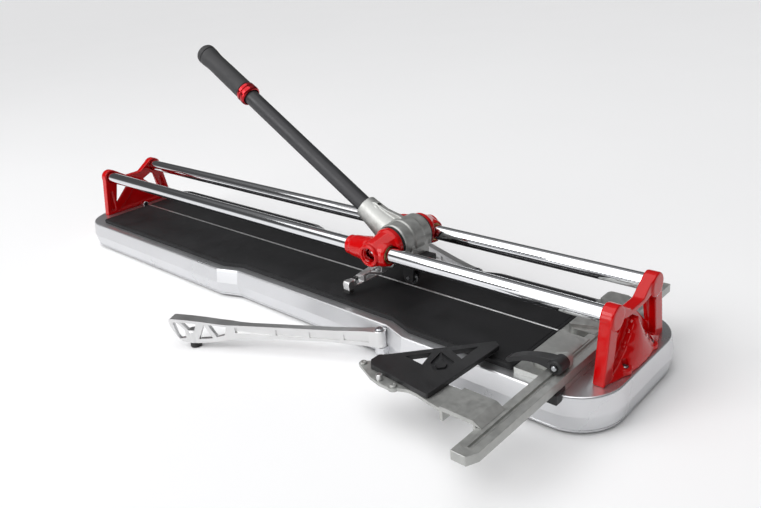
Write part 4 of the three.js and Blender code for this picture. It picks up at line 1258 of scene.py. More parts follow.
@dataclass
class Lever(SubAssembly):
    """The lever: its cast head, tube, grip, ring and cap, and the black holder under the head."""

    angle: float = 31.5
    drop: float = 9.0
    seat: float = 12.1
    barrel: float = 26.0
    half_width: float = 26.5
    screw_at: float = 57.0

    def build(self) -> None:
        """Makes the head and everything that is fixed to it."""
        self.pivot = DATUM.centre("pivot_shaft")
        self.head()
        self.tube()
        self.handle()
        holder = BENCH.bevel(BENCH.copy_of("wheel_holder"), 0.9, 3)
        self.place(holder, "black_wheel_holder", "black_plastic", "lever", "wheel_holder")
        self.cross_pin("wheel_axle", "wheel_axle_pin", 0.4)
        self.cross_pin("separator_pin", "breaker_pin", 0.5)

    def raised(self, body: Body) -> Body:
        """Turns a body that was made with the lever level to the lever's own angle."""
        return BENCH.turn(body, Axis.Y, self.angle, self.pivot)

    def round_tube(self, profile: Sequence[Pair], sides: int = 96) -> Body:
        """A round body on the tube's axis.

        Args:
            profile: Its [distance from the pivot, radius] points.
            sides: How many sides it has.

        Returns:
            The body, with the lever level.
        """
        points = [(self.pivot[0] - reach, radius) for reach, radius in profile]
        return BENCH.turned(points, Axis.X, (0.0, self.pivot[2] - self.drop), sides)

    def at_pivot(self, points: Sequence[Pair]) -> list[Pair]:
        """Points given from the pivot, as X and Z."""
        return [(self.pivot[0] + u, self.pivot[2] + v) for u, v in points]

    def head(self) -> None:
        """The casting: a socket with a rib on top, a barrel across the shaft and a chin below."""
        x, z = self.pivot[0], self.pivot[2]
        socket = self.round_tube([
            (77, 0), (77, 15.8), (76.2, 16.6), (60, 17.9), (40, 20.0), (24, 23.0), (12, 26.0),
            (12, 0),
        ], 72)
        rib = BENCH.prism(self.at_pivot([
            (-70, 6), (-64, 10.5), (-44, 14), (-20, 22.5), (-8, 25), (-8, 0), (-62, 0),
        ]), Axis.Y, -3.4, 3.4)
        place = (x - self.screw_at, 0.0)
        boss = BENCH.bar(Axis.Z, place, 6.4, z - 9, z + 9.6, 40)
        upper = self.raised(BENCH.gather(socket, rib, boss))
        wide, radius = self.half_width, self.barrel
        half = [(9.0, radius + 1.4), (10.4, radius), (wide - 2.2, radius),
                (wide - 0.6, radius - 0.7), (wide, radius - 2), (wide, 0.0)]
        barrel = BENCH.turned([*mirror(half), *half], Axis.Y, (x, z), 96)
        chin = BENCH.prism(self.at_pivot([
            (-22, -28), (26, -28), (26, -4), (23, 9), (14, 20), (-10, 20), (-22, 4),
        ]), Axis.Y, -16, 16)
        cheek = BENCH.prism(self.at_pivot([
            (-16, -28), (22, -28), (24, -18), (20, 0), (-20, 0), (-21, -16),
        ]), Axis.Y, -21, 21)
        pin = DATUM.centre("separator_pin")
        lug = BENCH.prism([
            *arc((pin[0], pin[2]), 6.6, 180, 360, 12), (pin[0] + 8, z - 26), (pin[0] + 8, z - 8),
            (pin[0] - 8, z - 8), (pin[0] - 8, z - 26),
        ], Axis.Y, -6.8, 6.8)
        body = BENCH.gather(upper, barrel, chin, cheek, lug)
        BENCH.cast(body, 0.8, 4)
        tube = self.raised(self.round_tube([
            (79, self.seat + 1.6), (77.2, self.seat + 1.4), (75.4, self.seat), (44.7, self.seat),
        ], 72))
        screw = self.raised(BENCH.bar(Axis.Z, place, PIN_BORE, z - 9, z + 20, 32))
        shaft = BENCH.bar(Axis.Y, (x, z), SHAFT_BORE, -wide - 3, wide + 3, 48)
        hole = BENCH.bar(Axis.Y, (pin[0], pin[2]), PIN_BORE, -9, 9, 32)
        BENCH.cut(body, tube, screw, shaft, hole)
        self.place(body, "cast_lever_head", "cast_aluminium", "lever", "lever_head", angle=50)
        grub = BENCH.turned([
            (z + 3.1, 0.0), (z + 3.1, 2.4), (z + 3.7, 3.0), (z + 6.0, 3.0), (z + 6.5, 2.5),
            (z + 6.5, 0.0),
        ], Axis.Z, place, 32)
        BENCH.cut(grub, BENCH.prism(hexagon(place, 1.5), Axis.Z, z + 4.6, z + 8))
        self.place(self.raised(grub), "tube_grub_screw", "steel", "lever", "tube_screw")

    def tube(self) -> None:
        """The coated tube."""
        outer, inner, end, start = 11.8, 9.8, 440.0, 45.0
        body = self.round_tube([
            (end, inner), (end, outer - 0.3), (end - 0.3, outer), (start + 0.3, outer),
            (start, outer - 0.3), (start, inner), (end, inner),
        ])
        self.place(self.raised(body), "coated_lever_tube", "tube_coating", "lever", "lever_tube")

    def handle(self) -> None:
        """The grip, the dark red ring at its foot and the cap at its end."""
        seat = self.seat
        grip = self.round_tube([
            (357.6, seat), (357.6, 14.0), (358.6, 14.8), (362, 15.0), (405, 14.8), (430, 14.5),
            (438, 14.7), (444, 15.5), (449, 15.9), (451.4, 15.6), (451.8, 14.9), (451.8, seat),
            (357.6, seat),
        ])
        self.place(self.raised(grip), "rubber_grip", "grip_rubber", "lever", "grip")
        ring = self.round_tube([
            (357, seat), (357, 14.8), (356, 15.9), (354.8, 16.3), (351.4, 16.3), (350.4, 15.8),
            (350, 14.9), (348.8, 14.9), (348.4, 15.9), (347.4, 16.5), (343.6, 16.5), (341.6, 15.9),
            (340.3, 14.7), (340, 13.6), (341.2, 13.0), (345, seat), (357, seat),
        ])
        self.place(self.raised(ring), "anodised_grip_ring", "red_anodised", "lever", "grip_ring")
        cap = self.round_tube([
            (442.5, 0), (442.5, 10.8), (443, 11.3), (452.3, 11.3), (452.3, 15.3), (452.9, 15.9),
            (454, 16.0), (457.4, 15.9), (460, 15.2), (462.2, 13.6), (463.6, 11.2), (464.2, 8.6),
            (464.2, 7.4), (463.7, 6.8), (463.7, 0),
        ])
        self.place(self.raised(cap), "rubber_grip_cap", "grip_rubber", "lever", "grip_cap")

    def cross_pin(self, node: str, name: str, chamfer: float) -> None:
        """A pin across the lever, with chamfered ends and clip grooves."""
        low, high = DATUM.box(node)
        x, _, z = DATUM.centre(node)
        radius, end = (high.z - low.z) / 2, high.y
        half = [(end - 2.6, radius), (end - 2.4, radius - 0.4), (end - 1.6, radius - 0.4),
                (end - 1.4, radius), (end - chamfer, radius), (end, radius - chamfer), (end, 0.0)]
        body = BENCH.turned([*mirror(half), *half], Axis.Y, (x, z), 48)
        self.place(body, name, "steel", "lever", node)


@dataclass
class Wheel(SubAssembly):
    """The scoring wheel, with a ground edge."""

    bore: float = 2.8

    def build(self) -> None:
        """Makes the wheel."""
        low, high = DATUM.box("scoring_wheel")
        x, _, z = DATUM.centre("scoring_wheel")
        radius, side = (high.z - low.z) / 2, high.y
        half = [(side - 1.1, radius - 1.8), (side - 0.5, radius - 2.8), (side, radius - 3.1),
                (side, 5.4), (side - 0.3, 5.0), (side - 0.3, 3.6), (side, 3.3), (side, self.bore)]
        profile = [*mirror(half), (0.0, radius), *half, mirror(half)[0]]
        wheel = BENCH.turned(profile, Axis.Y, (x, z), 96)
        self.place(wheel, "ground_scoring_wheel", "steel", "wheel", "scoring_wheel", angle=20)


@dataclass
class Breaker(SubAssembly):
    """The bright breaker with two open wings, and the black pads under their tips."""

    grain: float = 0.7
    windows: tuple[tuple[Pair, ...], ...] = (
        ((25.0, 76.2), (25.0, 85.4), (41.0, 81.2)),
        ((30.0, 74.8), (46.5, 79.6), (46.5, 70.8)),
        ((50.5, 69.8), (50.5, 78.6), (60.5, 76.0), (59.5, 68.4)),
    )

    def build(self) -> None:
        """Makes the breaker and its pads."""
        x, _, z = DATUM.centre("separator_pin")
        tip, side, _ = DATUM.centre("rear_press_pad")
        bottom = DATUM.box("rear_press_pad")[1].z
        wing = BENCH.loft([
            [(x - 20, 8.0, z - 9), (x - 4, 8.0, z - 9), (x - 4, 8.0, z + 4), (x - 20, 8.0, z + 4)],
            [(x - 18, 21.0, z - 11), (x - 5, 21.0, z - 11), (x - 5, 21.0, z + 3.4),
             (x - 18, 21.0, z + 3.4)],
            [(tip - 4.6, side - 3, bottom + 0.6), (tip + 4.6, side - 3, bottom + 0.6),
             (tip + 4.6, side - 3, bottom + 11), (tip - 4.6, side - 3, bottom + 11)],
        ])
        post = BENCH.prism([
            (side - 5.0, bottom), (side + 4.2, bottom), (side + 4.2, bottom + 10.0),
            (side + 2.6, bottom + 12.0), (side - 5.0, bottom + 12.4),
        ], Axis.X, tip - 5.6, tip + 5.6)
        ear = BENCH.prism([
            *arc((x, z), 6.6, -90, 90, 12), (x - 18, z + 6), (x - 18, z - 7),
        ], Axis.Y, 7.5, 14.0)
        half = BENCH.gather(wing, post, ear)
        bridge = BENCH.block((x - 20, -14, z - 9), (x - 10.2, 14, z + 4))
        body = BENCH.fuse(BENCH.gather(half, BENCH.mirrored(half), bridge), self.grain)
        openings = [BENCH.prism([(turn * a, b) for a, b in shape], Axis.X, tip - 20, x + 20)
                    for shape in self.windows for turn in SIDES]
        BENCH.cut(body, BENCH.gather(*openings))
        BENCH.cast(body, self.grain, 3)
        BENCH.cut(body, BENCH.bar(Axis.Y, (x, z), PIN_BORE, -16, 16, 32))
        self.place(body, "bright_breaker", "bright_aluminium", "breaker", "separator", angle=50)
        for node in ("front_press_pad", "rear_press_pad"):
            low, high = DATUM.box(node)
            pad = BENCH.bevel(BENCH.block(tuple(low), tuple(high)), 0.9, 3)
            name = node.replace("press_pad", "rubber_press_pad")
            self.place(pad, name, "foot_rubber", "breaker", node)


# ---- Side fence, stop and arms -------------------------------------------------------------------


@dataclass
class Fence(SubAssembly):
    """The cast fence blocks, the sliding rail, its guide and the black lock lever."""

    blocks: tuple[Pair, ...] = ((-85.0, -18.0), (-6.0, 60.0), (70.0, 96.0))
    corner: float = 9.0
    nose: float = 13.0
    groove: float = 1.75
    hub: float = 8.6
    block_width: float = 27.95

    def build(self) -> None:
        """Makes the fence."""
        self.low, self.high = DATUM.box("fence_rail")
        self.pin = DATUM.centre("fence_lock_pin")
        self.casting()
        self.rail()
        guide = BENCH.bevel(BENCH.copy_of("rail_guide"), 1.0, 3)
        self.place(guide, "black_rail_guide", "black_plastic", "base", "rail_guide")
        self.lock()

    def block_body(self, start: float, end: float) -> Body:
        """A fence block: a sloping top, a lip over the rail and rounded corners."""
        deck = DATUM.box("fence_casting")[0].z
        inner, top = self.low.x, self.high.z
        left = inner - self.block_width
        body = BENCH.prism([
            (left, deck), (left, top + 2.6), (left + 1.4, top + 4.2), (left + 4.4, top + 5),
            (inner - 1, top + 5), (inner + 6.4, top + 2.4), (inner + 8, top + 1.1),
            (inner + 8, top + 0.3), (inner - 0.3, top + 0.3), (inner - 0.3, deck),
        ], Axis.Y, start, end)
        radius = self.corner
        plan = BENCH.prism([
            *arc((left + radius, start + radius), radius, 180, 270, 8), (inner + 9, start),
            (inner + 9, end), *arc((left + radius, end - radius), radius, 90, 180, 8),
        ], Axis.Z, deck - 1, top + 12)
        return BENCH.trim(body, plan)

    def casting(self) -> None:
        """The blocks on their floor, with the lock's ear and the notch between the first two."""
        low, high = DATUM.box("fence_casting")
        inner, top, x = self.low.x, self.high.z, self.pin[0]
        floor = BENCH.block(tuple(low), (self.high.x, high.y, self.low.z - 0.3))
        ear = BENCH.prism([
            (inner - 4, top + 0.3), (x + 6, top + 0.3), (x + 6, top + 9),
            *arc((x, top + 9), 6.0, 0, 120, 8), (inner - 1, top + 9), (inner - 4, top + 5),
        ], Axis.Y, -84, -76)
        notch = BENCH.prism([
            (inner - 30, -16), (inner + 9, -34), (inner + 9, 8), (inner - 30, -8),
        ], Axis.Z, top + 1, top + 20)
        body = BENCH.unite(floor, *[self.block_body(*ends) for ends in self.blocks], ear)
        BENCH.cut(body, notch, BENCH.bar(Axis.Y, (x, self.pin[2]), PIN_BORE, -86, -74, 32))
        BENCH.bevel(body, 0.7, 2, 26)
        self.place(body, "cast_fence_blocks", "cast_aluminium", "base", "fence_casting", angle=26)

    def rail(self) -> None:
        """The rail with its bevelled nose and its groove."""
        low, high = self.low, self.high
        middle = (low.x + high.x) / 2
        body = BENCH.prism([
            (low.x, low.y), (high.x - 6, low.y), (high.x, low.y + self.nose), (high.x, high.y),
            (low.x, high.y),
        ], Axis.Z, low.z, high.z)
        BENCH.bevel(body, 0.7, 3)
        half, top = self.groove, high.z
        groove = BENCH.prism([
            (middle - half - 0.3, top + 0.3), (middle - half, top - 0.3),
            (middle - half + 0.5, top - 2.5), (middle + half - 0.5, top - 2.5),
            (middle + half, top - 1.0), (middle + half + 2.6, top + 0.3),
        ], Axis.Y, low.y + self.nose, high.y + 1)
        under = BENCH.block(
            (middle - 5, low.y + 30, low.z - 1), (middle + 5, high.y + 1, low.z + 1.2),
        )
        mark = BENCH.block(
            (low.x + 4, low.y + 10.6, top - 0.35), (middle + half, low.y + 11.2, top + 1),
        )
        BENCH.cut(body, groove, under, mark)
        self.place(body, "cast_fence_rail", "cast_aluminium", "fence", "fence_rail", angle=26)

    def lock(self) -> None:
        """The clamp's pin with its screw head, and the curved lever on it."""
        x, _, z = self.pin
        low, high = DATUM.box("fence_lock_pin")
        radius = (high.z - low.z) / 2
        pin = BENCH.turned([
            (low.y, 0.0), (low.y, radius - 0.6), (low.y + 0.5, radius), (high.y - 0.5, radius),
            (high.y, radius - 0.5), (high.y, 0.0),
        ], Axis.Y, (x, z), 48)
        slot = BENCH.block((x - 4, low.y - 1, z - 0.45), (x + 4, low.y + 0.9, z + 0.45))
        self.place(BENCH.cut(pin, slot), "lock_pin", "steel", "base", "fence_lock_pin")
        outer, inner = (corner.y for corner in DATUM.box("fence_lock_lever"))
        hub = BENCH.turned([
            (outer, 0.0), (outer, self.hub - 1.8), (outer + 0.6, self.hub - 0.6),
            (outer + 1.8, self.hub), (inner - 0.8, self.hub), (inner, self.hub - 0.8), (inner, 0.0),
        ], Axis.Y, (x, z), 72)
        handle = BENCH.prism([
            *curve([(x, z + 8.4), (x - 22, z + 8.2), (x - 44, z + 1), (x - 58, z - 8)], 14),
            *arc((x - 59.4, z - 11.4), 2.5, 60, 270, 8),
            *curve([(x - 57, z - 13.4), (x - 42, z - 5), (x - 24, z + 0.5), (x - 6, z - 6)], 14),
        ], Axis.Y, outer + 2, inner - 4)
        body = BENCH.unite(hub, BENCH.bevel(handle, 1.4, 3))
        recess = BENCH.turned([
            (outer - 1, 5.2), (outer + 0.2, 5.2), (outer + 1.0, 4.6), (outer + 1.0, 0.0),
        ], Axis.Y, (x, z), 48)
        BENCH.cut(body, recess, BENCH.bar(Axis.Y, (x, z), PIN_BORE, outer - 1, inner + 1, 32))
        self.place(body, "black_lock_lever", "black_plastic", "fence_lock", "fence_lock_lever")


@dataclass
class AngleStop(SubAssembly):
    """The cast bracket on the rail and the black square that turns on it."""

    pivot: Pair = (332.0, -188.0)
    detent: Pair = (348.0, -207.0)
    bosses: tuple[Pair, ...] = ((310.5, -193.0), (369.0, -208.0))
    riser: float = 447.0
    plate: float = 4.0
    hook_width: float = 40.0
    detent_bore: float = 2.8
    windows: tuple[tuple[Pair, ...], ...] = (
        ((346.4, -162.0), (366.3, -139.3), (373.7, -164.8)),
        ((382.5, -122.8), (402.3, -98.9), (402.2, -131.0)),
    )
    recess: tuple[Pair, ...] = (
        (373.8, -131.6), (378.6, -156.3), (391.9, -167.0), (404.2, -155.3), (399.2, -140.5),
    )
    island: tuple[Pair, ...] = (
        (384.5, -147.5), (386.5, -157.5), (391.5, -161.0), (397.5, -155.0), (395.0, -147.5),
    )

    def build(self) -> None:
        """Makes the bracket, its screws and the square."""
        self.rail = DATUM.box("fence_rail")
        self.box_low, self.box_high = DATUM.box("stop_bracket")
        self.plate_top = DATUM.box("stop_square")[0].z - 0.3
        self.bracket()
        self.screws()
        self.square()

    def bracket(self) -> None:
        """The plate with its scalloped front edge, and the raised part that hooks over the rail."""
        bottom, top = self.box_low.z, self.plate_top
        low_plate = top - self.plate
        front, high = self.box_low.y, self.box_high.z
        boss = self.bosses[1]
        edge = [
            *arc((309.0, -192.6), 4.6, 110, 235, 8),
            (335.0, front + 13), (352.0, front + 9),
            *arc(boss, 6.2, 240, 350, 10),
            *curve([
                (380.0, front + 15), (388.0, front + 20), (400.0, front + 17),
                (418.0, front + 13.2),
            ], 10),
            (self.riser, front + 9), (self.riser, -172.0), (395.0, -172.0), (322.0, -178.0),
        ]
        plate = BENCH.prism(edge, Axis.Z, low_plate, top)
        inner, rail_top, rail_low = self.rail[0].x, self.rail[1].z, self.rail[0].z
        riser = self.riser
        raised = BENCH.prism([
            (riser - 4, low_plate), (riser - 4, high - 1.6), (riser - 2.4, high), (inner - 4, high),
            (inner + 6, rail_top + 0.3), (inner + 1, rail_top + 0.3), (inner - 1, rail_top + 1.2),
            (inner - 1, rail_low), (inner - 4, rail_low), (inner - 4, high - 5), (riser, high - 5),
            (riser, low_plate),
        ], Axis.Y, front, front + self.hook_width)
        post = [
            (low_plate + 0.5, 0.0), (low_plate + 0.5, 4.4), (top + 2.0, 4.1), (top + 2.5, 3.6),
            (top + 2.5, 1.6), (top + 1.4, 1.2), (top + 1.4, 0.0),
        ]
        posts = [BENCH.turned(post, Axis.Z, place, 40) for place in self.bosses]
        body = BENCH.unite(plate, raised, *posts)
        for place, bore in ((self.pivot, PIN_BORE), (self.detent, self.detent_bore)):
            BENCH.cut(body, BENCH.bar(Axis.Z, place, bore, bottom - 5, top + 1, 32))
        BENCH.bevel(body, 0.8, 2, 28)
        self.place(body, "cast_stop_bracket", "cast_aluminium", "stop", "stop_bracket", angle=28)

    def screws(self) -> None:
        """The pivot screw from below and the slotted pin in front of the square."""
        low, high = DATUM.box("stop_pivot_screw")
        head = self.plate_top - 4.3
        pivot = BENCH.turned([
            (low.z, 0.0), (low.z, 4.6), (low.z + 0.7, 5.5), (head, 5.5), (head, 3.0),
            (high.z - 0.5, 3.0), (high.z, 2.5), (high.z, 0.0),
        ], Axis.Z, self.pivot, 40)
        self.place(pivot, "square_pivot_screw", "steel", "stop", "stop_pivot_screw")
        low, high = DATUM.box("stop_detent_pin")
        pin = BENCH.turned([
            (low.z, 0.0), (low.z, 2.5), (self.plate_top + 0.3, 2.5), (self.plate_top + 0.3, 3.6),
            (high.z - 0.6, 3.6), (high.z, 3.0), (high.z, 0.0),
        ], Axis.Z, self.detent, 40)
        x, y = self.detent
        BENCH.cut(pin, BENCH.block((x - 0.5, y - 5, high.z - 1.4), (x + 0.5, y + 5, high.z + 1)))
        self.place(pin, "slotted_detent_pin", "bright_aluminium", "stop", "stop_detent_pin")

    def square(self) -> None:
        """The square with two open windows and a ribbed recess between them."""
        low, high = DATUM.box("stop_square")
        x, y = self.pivot
        body = BENCH.prism([
            (x - 6, y - 9), (409.0, -206.0), *arc((411.5, -202.5), 3.6, -80, -10, 5),
            (high.x, -90.0), (high.x, -84.0), (411.0, high.y), (x - 8, y + 15),
            *arc((x - 9.5, y + 10.5), 3.6, 120, 190, 5), (x - 13, y - 1),
        ], Axis.Z, low.z, high.z)
        BENCH.bevel(body, 0.6, 2)
        cuts = [BENCH.prism(shape, Axis.Z, low.z - 1, high.z + 1) for shape in self.windows]
        pocket = BENCH.prism(self.recess, Axis.Z, high.z - 2.4, high.z + 1)
        apex, middle = self.recess[0], self.island[0]
        rib = [(apex[0] - 1, apex[1]), (apex[0] + 1.4, apex[1]), (middle[0] + 4, middle[1]), middle]
        BENCH.cut(pocket, BENCH.prism(self.island, Axis.Z, high.z - 3, high.z - 0.2),
                  BENCH.prism(rib, Axis.Z, high.z - 3, high.z - 0.6))
        strip = BENCH.block((high.x - 1.2, -196.0, low.z + 2.2), (high.x + 1, -92.0, low.z + 3.4))
        hole = BENCH.bar(Axis.Z, self.pivot, PIN_BORE, low.z - 1, high.z - 1, 32)
        BENCH.cut(body, *cuts, pocket, strip, hole)
        BENCH.bevel(body, 0.25, 1, 40)
        self.place(body, "black_square", "black_plastic", "square", "stop_square")


@dataclass
class SwingArms(SubAssembly):
    """The two bright swing arms with their truss windows, panels, posts, shoes and hinge pins."""

    length: float = 304.0
    top: float = 44.0
    height: float = 36.0
    depth: float = 23.0
    wide: float = 8.0
    narrow: float = 5.0
    web: Pair = (1.2, 6.8)
    flange: float = 6.0
    post_at: float = 272.0
    post_bore: float = 4.3
    hinge: Pair = (252.0, 105.5)
    knuckle: float = 8.0
    angles: tuple[float, float] = (26.5, 20.5)
    windows: tuple[tuple[Pair, ...], ...] = (
        ((5.5, 38.0), (11.0, 39.4), (23.0, 27.0), (23.0, 15.5), (13.0, 13.5), (9.5, 18.0)),
        ((17.5, 39.4), (42.5, 38.6), (37.5, 27.5), (28.0, 27.5)),
        ((53.5, 37.5), (65.0, 17.5), (42.5, 14.5)),
        ((60.0, 38.2), (88.0, 36.0), (84.0, 23.6), (71.0, 19.6)),
    )
    panels: tuple[Pair, ...] = ((-204.0, -150.0), (-144.0, -102.0), (-96.0, -54.0), (-48.0, -14.0))

    def build(self) -> None:
        """Makes both arms."""
        for side, name, angle in ((-1, "front", self.angles[0]), (1, "rear", self.angles[1])):
            rides = f"{name}_swing_arm"
            parts = (
                (self.arm(side), f"{name}_cast_arm", "bright_aluminium", f"{name}_arm"),
                (self.post(), f"{name}_arm_steel_post", "steel", f"{name}_arm_post"),
                (self.shoe(), f"{name}_arm_rubber_shoe", "foot_rubber", f"{name}_arm_shoe"),
            )
            for body, title, slot, node in parts:
                self.swing(body, side, angle)
                self.place(body, title, slot, rides, node)
            self.pin(f"{name}_arm_pin")

    def swing(self, body: Body, side: int, angle: float) -> Body:
        """Moves a part from the hinge's own place to the arm's open place."""
        shift = Vector((self.hinge[0] * MM, side * self.hinge[1] * MM, 0))
        BENCH.turn(body, Axis.Z, -side * angle, (0.0, 0.0, 0.0))
        return BENCH.move(body, Matrix.Translation(shift))

    def arm(self, side: int) -> Body:
        """An arm along -X from its hinge.

        Args:
            side: -1 for the front arm and 1 for the rear one; its truss is near that face.

        Returns:
            The arm.
        """
        tip, top, low = -self.length, self.top, self.top - self.height
        profile = [
            (tip, top - 5), *arc((tip + 4, top - 4), 4.0, 175, 95, 6), (tip + 30, top - 0.6),
            *curve([
                (tip + 54, top - 2), (tip + 74, top - 3.8), (tip + 92, top - 5),
                (tip + 120, top - 5),
            ], 10),
            (-60.0, top - 3), (0.0, top - 0.2), (0.0, top - self.depth), (-30.0, top - 22),
            *curve([
                (-70.0, top - 20.5), (tip + 130, top - 22.5), (tip + 96, top - 25),
                (tip + 74, top - 31),
            ], 12),
            *curve([(tip + 66, low + 3.6), (tip + 52, low + 1.2), (-self.post_at + 8, low)], 6),
            (-self.post_at - 8, low),
            *curve([(tip + 16, low + 1.5), (tip + 9, low + 6), (tip + 7, low + 12)], 5),
            (tip + 0.6, top - 12),
        ]
        wide, narrow = self.wide, self.narrow
        flank = [
            (tip, wide - 1.4),
            *curve([(tip + 1.2, wide), (tip + 44, wide), (tip + 88, wide - 0.4)], 6),
            *curve([(tip + 92, wide - 0.6), (tip + 104, narrow + 0.2), (tip + 124, narrow)], 8),
            *curve([(-26.0, narrow), (-12.0, narrow + 0.4), (0.0, self.knuckle - 0.2)], 6),
        ]
        plan = [*flank, *[(u, -v) for u, v in reversed(flank)]]
        body = BENCH.prism(profile, Axis.Y, -wide - 1, wide + 1)
        BENCH.trim(body, BENCH.prism(plan, Axis.Z, 0, top + 2))
        openings = [BENCH.prism([(tip + u, v) for u, v in shape], Axis.Y, -wide - 2, wide + 2)
                    for shape in self.windows]
        hollows = [BENCH.prism([
            (start, top - 16.2), (end, top - 17), (end, top - 7.4), (start, top - 8.2),
        ], Axis.Y, *sorted((turn * (narrow - 1.6), turn * (narrow + 2))))
            for start, end in self.panels for turn in SIDES]
        waste = [BENCH.prism([
            (tip - 1, side * edge), (tip + 84, side * edge),
            (tip + 106, side * turn * (narrow + 0.4)), (tip + 106, side * turn * 12),
            (tip - 1, side * turn * 12),
        ], Axis.Z, 0, top - self.flange) for turn, edge in ((1, self.web[1]), (-1, self.web[0]))]
        BENCH.cut(body, BENCH.gather(*openings), BENCH.gather(*hollows), BENCH.gather(*waste))
        BENCH.bevel(body, 0.7, 2, 34)
        knuckle = BENCH.turned([
            (top - self.depth, 0.0), (top - self.depth, self.knuckle - 0.6),
            (top - 22.4, self.knuckle),
            (top - 0.6, self.knuckle), (top, self.knuckle - 0.6), (top, 0.0),
        ], Axis.Z, (0.0, 0.0), 56)
        boss = BENCH.turned([
            (low - 0.1, 0.0), (low - 0.1, 7.8), (low + 0.5, 8.4), (low + 16.8, 8.4),
            (low + 18.0, 7.4), (low + 18.0, 0.0),
        ], Axis.Z, (-self.post_at, 0.0), 56)
        BENCH.unite(body, knuckle, boss)
        return BENCH.cut(
            body,
            BENCH.bar(Axis.Z, (0.0, 0.0), HINGE_BORE, 0, top + 1, 40),
            BENCH.bar(Axis.Z, (-self.post_at, 0.0), self.post_bore, 0, 22, 40),
        )

    def post(self) -> Body:
        """The height post with a nut against the arm."""
        low = self.top - self.height
        return BENCH.turned([
            (3.0, 0.0), (3.0, 3.5), (3.5, 4.0), (5.0, 4.0), (5.0, 6.0), (low - 0.8, 6.0),
            (low - 0.3, 5.5), (low - 0.3, 4.0), (19.4, 4.0), (20.0, 3.4), (20.0, 0.0),
        ], Axis.Z, (-self.post_at, 0.0), 48)

    def shoe(self) -> Body:
        """The rubber shoe round the post."""
        return BENCH.turned([
            (0.0, 0.0), (0.0, 7.0), (0.6, 7.8), (1.4, 8.0), (6.2, 7.3), (6.9, 6.9), (7.0, 6.3),
            (4.7, 6.3), (4.7, 4.3), (2.7, 4.3), (2.7, 0.0),
        ], Axis.Z, (-self.post_at, 0.0), 56)

    def pin(self, node: str) -> None:
        """A hinge pin with a domed head and a socket in it."""
        low, high = DATUM.box(node)
        x, y, _ = DATUM.centre(node)
        radius = (high.x - low.x) / 2
        body = BENCH.turned([
            (low.z, 0.0), (low.z, radius - 2.5), (low.z + 0.5, radius - 2),
            (self.top + 0.3, radius - 2), (self.top + 0.3, radius), (self.top + 1.2, radius),
            (high.z, radius - 1.4), (high.z, 0.0),
        ], Axis.Z, (x, y), 48)
        BENCH.cut(body, BENCH.prism(hexagon((x, y), 2.0), Axis.Z, self.top + 0.9, high.z + 1))
        self.place(body, node.replace("_pin", "_hinge_pin"), "steel", "base", node)


ASSEMBLIES = (
    Base, Table, Rods, Supports, Carriage, Lever, Wheel, Breaker, Fence, AngleStop, SwingArms,
)


# ---- Studio --------------------------------------------------------------------------------------


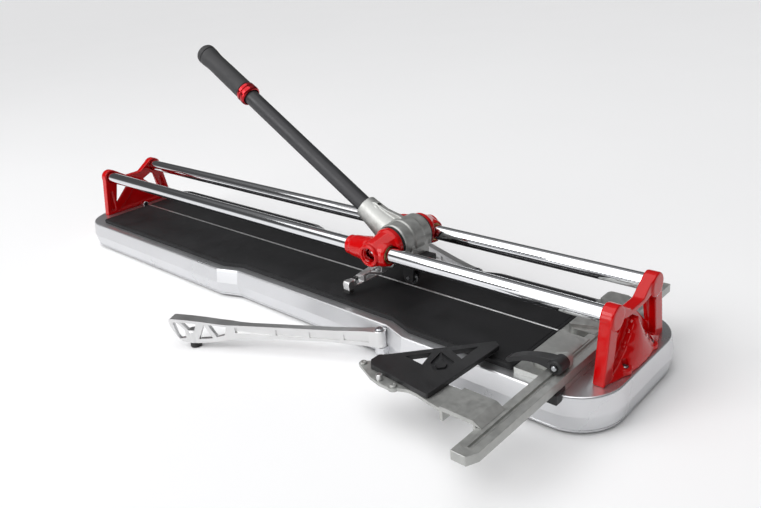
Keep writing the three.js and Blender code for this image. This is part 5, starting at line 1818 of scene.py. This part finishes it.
@dataclass
class Studio:
    """The floor, the soft lights and the camera."""

    eye: Triple = (838.77, -679.63, 493.57)
    bearing: float = 44.894
    elevation: float = 22.854
    roll: float = -5.486
    lens: float = 34.67
    sensor: float = 36.0
    floor_size: float = 60.0
    floor_drop: float = 0.0003
    overhead_tilt: Pair = (24.0, -10.0)
    room: tuple[Pair, ...] = ((0.06, 0.9), (0.16, 0.12), (0.5, 0.1), (0.72, 0.35))
    room_strength: float = 0.85

    def build(self) -> None:
        """Sets up the whole studio."""
        self.floor()
        self.sky()
        self.softbox("key", (-0.9, -2.2, 1.9), (0.1, 0.0, 0.1), 1.4, 24.0)
        self.softbox("low_front", (-0.5, -2.6, 0.45), (-0.1, 0.0, 0.05), 1.0, 14.0)
        self.overhead(1.95, 80.0)
        self.camera()
        bpy.context.scene.view_settings.view_transform = "Standard"

    def floor(self) -> None:
        """A wide pale floor with a faint unevenness."""
        BENCH.clear_selection()
        bpy.ops.mesh.primitive_plane_add(size=self.floor_size, location=(0, 0, -self.floor_drop))
        floor = bpy.context.object
        floor.name = "floor"
        pale = Finish("floor_paper", (0.95, 0.95, 0.955), 0.8, tone_spread=0.004, mottle_scale=2.0,
                      gloss_spread=0.02, grain_scale=400.0, grain_depth=0.01)
        floor.data.materials.append(pale.build())

    def sky(self) -> None:
        """A soft room: pale low down, darker above."""
        world = bpy.data.worlds.new("studio")
        bpy.context.scene.world = world
        world.use_nodes = True
        tree = world.node_tree
        source = tree.nodes.new("ShaderNodeTexCoord")
        split = tree.nodes.new("ShaderNodeSeparateXYZ")
        ramp = tree.nodes.new("ShaderNodeValToRGB")
        tree.links.new(source.outputs["Generated"], split.inputs["Vector"])
        tree.links.new(split.outputs["Z"], ramp.inputs["Fac"])
        tree.links.new(ramp.outputs["Color"], tree.nodes["Background"].inputs["Color"])
        stops = ramp.color_ramp.elements
        stops[0].position, stops[0].color = 0.0, (1.0, 1.0, 1.0, 1)
        stops[1].position, stops[1].color = 1.0, (0.55, 0.55, 0.56, 1)
        for position, level in self.room:
            stop = stops.new(position)
            stop.color = (level, level, level * 1.01, 1)
        tree.nodes["Background"].inputs["Strength"].default_value = self.room_strength

    def softbox(self, name: str, at: Triple, aim: Triple, size: float, power: float) -> None:
        """A square soft light.

        Args:
            name: Its name.
            at: Where it stands, in metres.
            aim: Where it points, in metres.
            size: Its side in metres.
            power: Its power in watts.
        """
        light = bpy.data.lights.new(name, "AREA")
        light.energy = power
        light.size = size
        lamp = bpy.data.objects.new(name, light)
        bpy.context.scene.collection.objects.link(lamp)
        lamp.location = at
        lamp.rotation_euler = (Vector(aim) - Vector(at)).to_track_quat("-Z", "Y").to_euler()

    def overhead(self, strength: float, spread: float) -> None:
        """An even soft light from above.

        Args:
            strength: Its strength.
            spread: How wide it is, in degrees.
        """
        light = bpy.data.lights.new("overhead", "SUN")
        light.energy = strength
        light.angle = math.radians(spread)
        lamp = bpy.data.objects.new("overhead", light)
        bpy.context.scene.collection.objects.link(lamp)
        lamp.rotation_euler = (*map(math.radians, self.overhead_tilt), 0)

    def camera(self) -> None:
        """A camera in front of the fence end, a little above the table."""
        bearing, elevation = math.radians(self.bearing), math.radians(self.elevation)
        back = Vector((
            math.sin(bearing) * math.cos(elevation),
            -math.cos(bearing) * math.cos(elevation),
            math.sin(elevation),
        ))
        right = Vector((0, 0, 1)).cross(back).normalized()
        up = back.cross(right)
        roll = Matrix.Rotation(math.radians(self.roll), 3, "Z")
        matrix = (Matrix((right, up, back)).transposed() @ roll).to_4x4()
        matrix.translation = DATUM.metres(self.eye)
        lens = bpy.data.cameras.new("camera")
        lens.lens = self.lens
        lens.sensor_width = self.sensor
        camera = bpy.data.objects.new("camera", lens)
        bpy.context.scene.collection.objects.link(camera)
        camera.matrix_world = matrix
        bpy.context.scene.camera = camera


# ---- Making --------------------------------------------------------------------------------------


def main() -> None:
    """Builds the studio, dresses the frame and makes every sub-assembly."""
    logging.basicConfig(level=logging.INFO, format="%(message)s")
    Studio().build()
    finishes = Finishes()
    finishes.dress_frame()
    for assembly in ASSEMBLIES:
        assembly(finishes).build()
        LOG.info("%s is done", assembly.__name__)


if __name__ == "__main__":
    main()
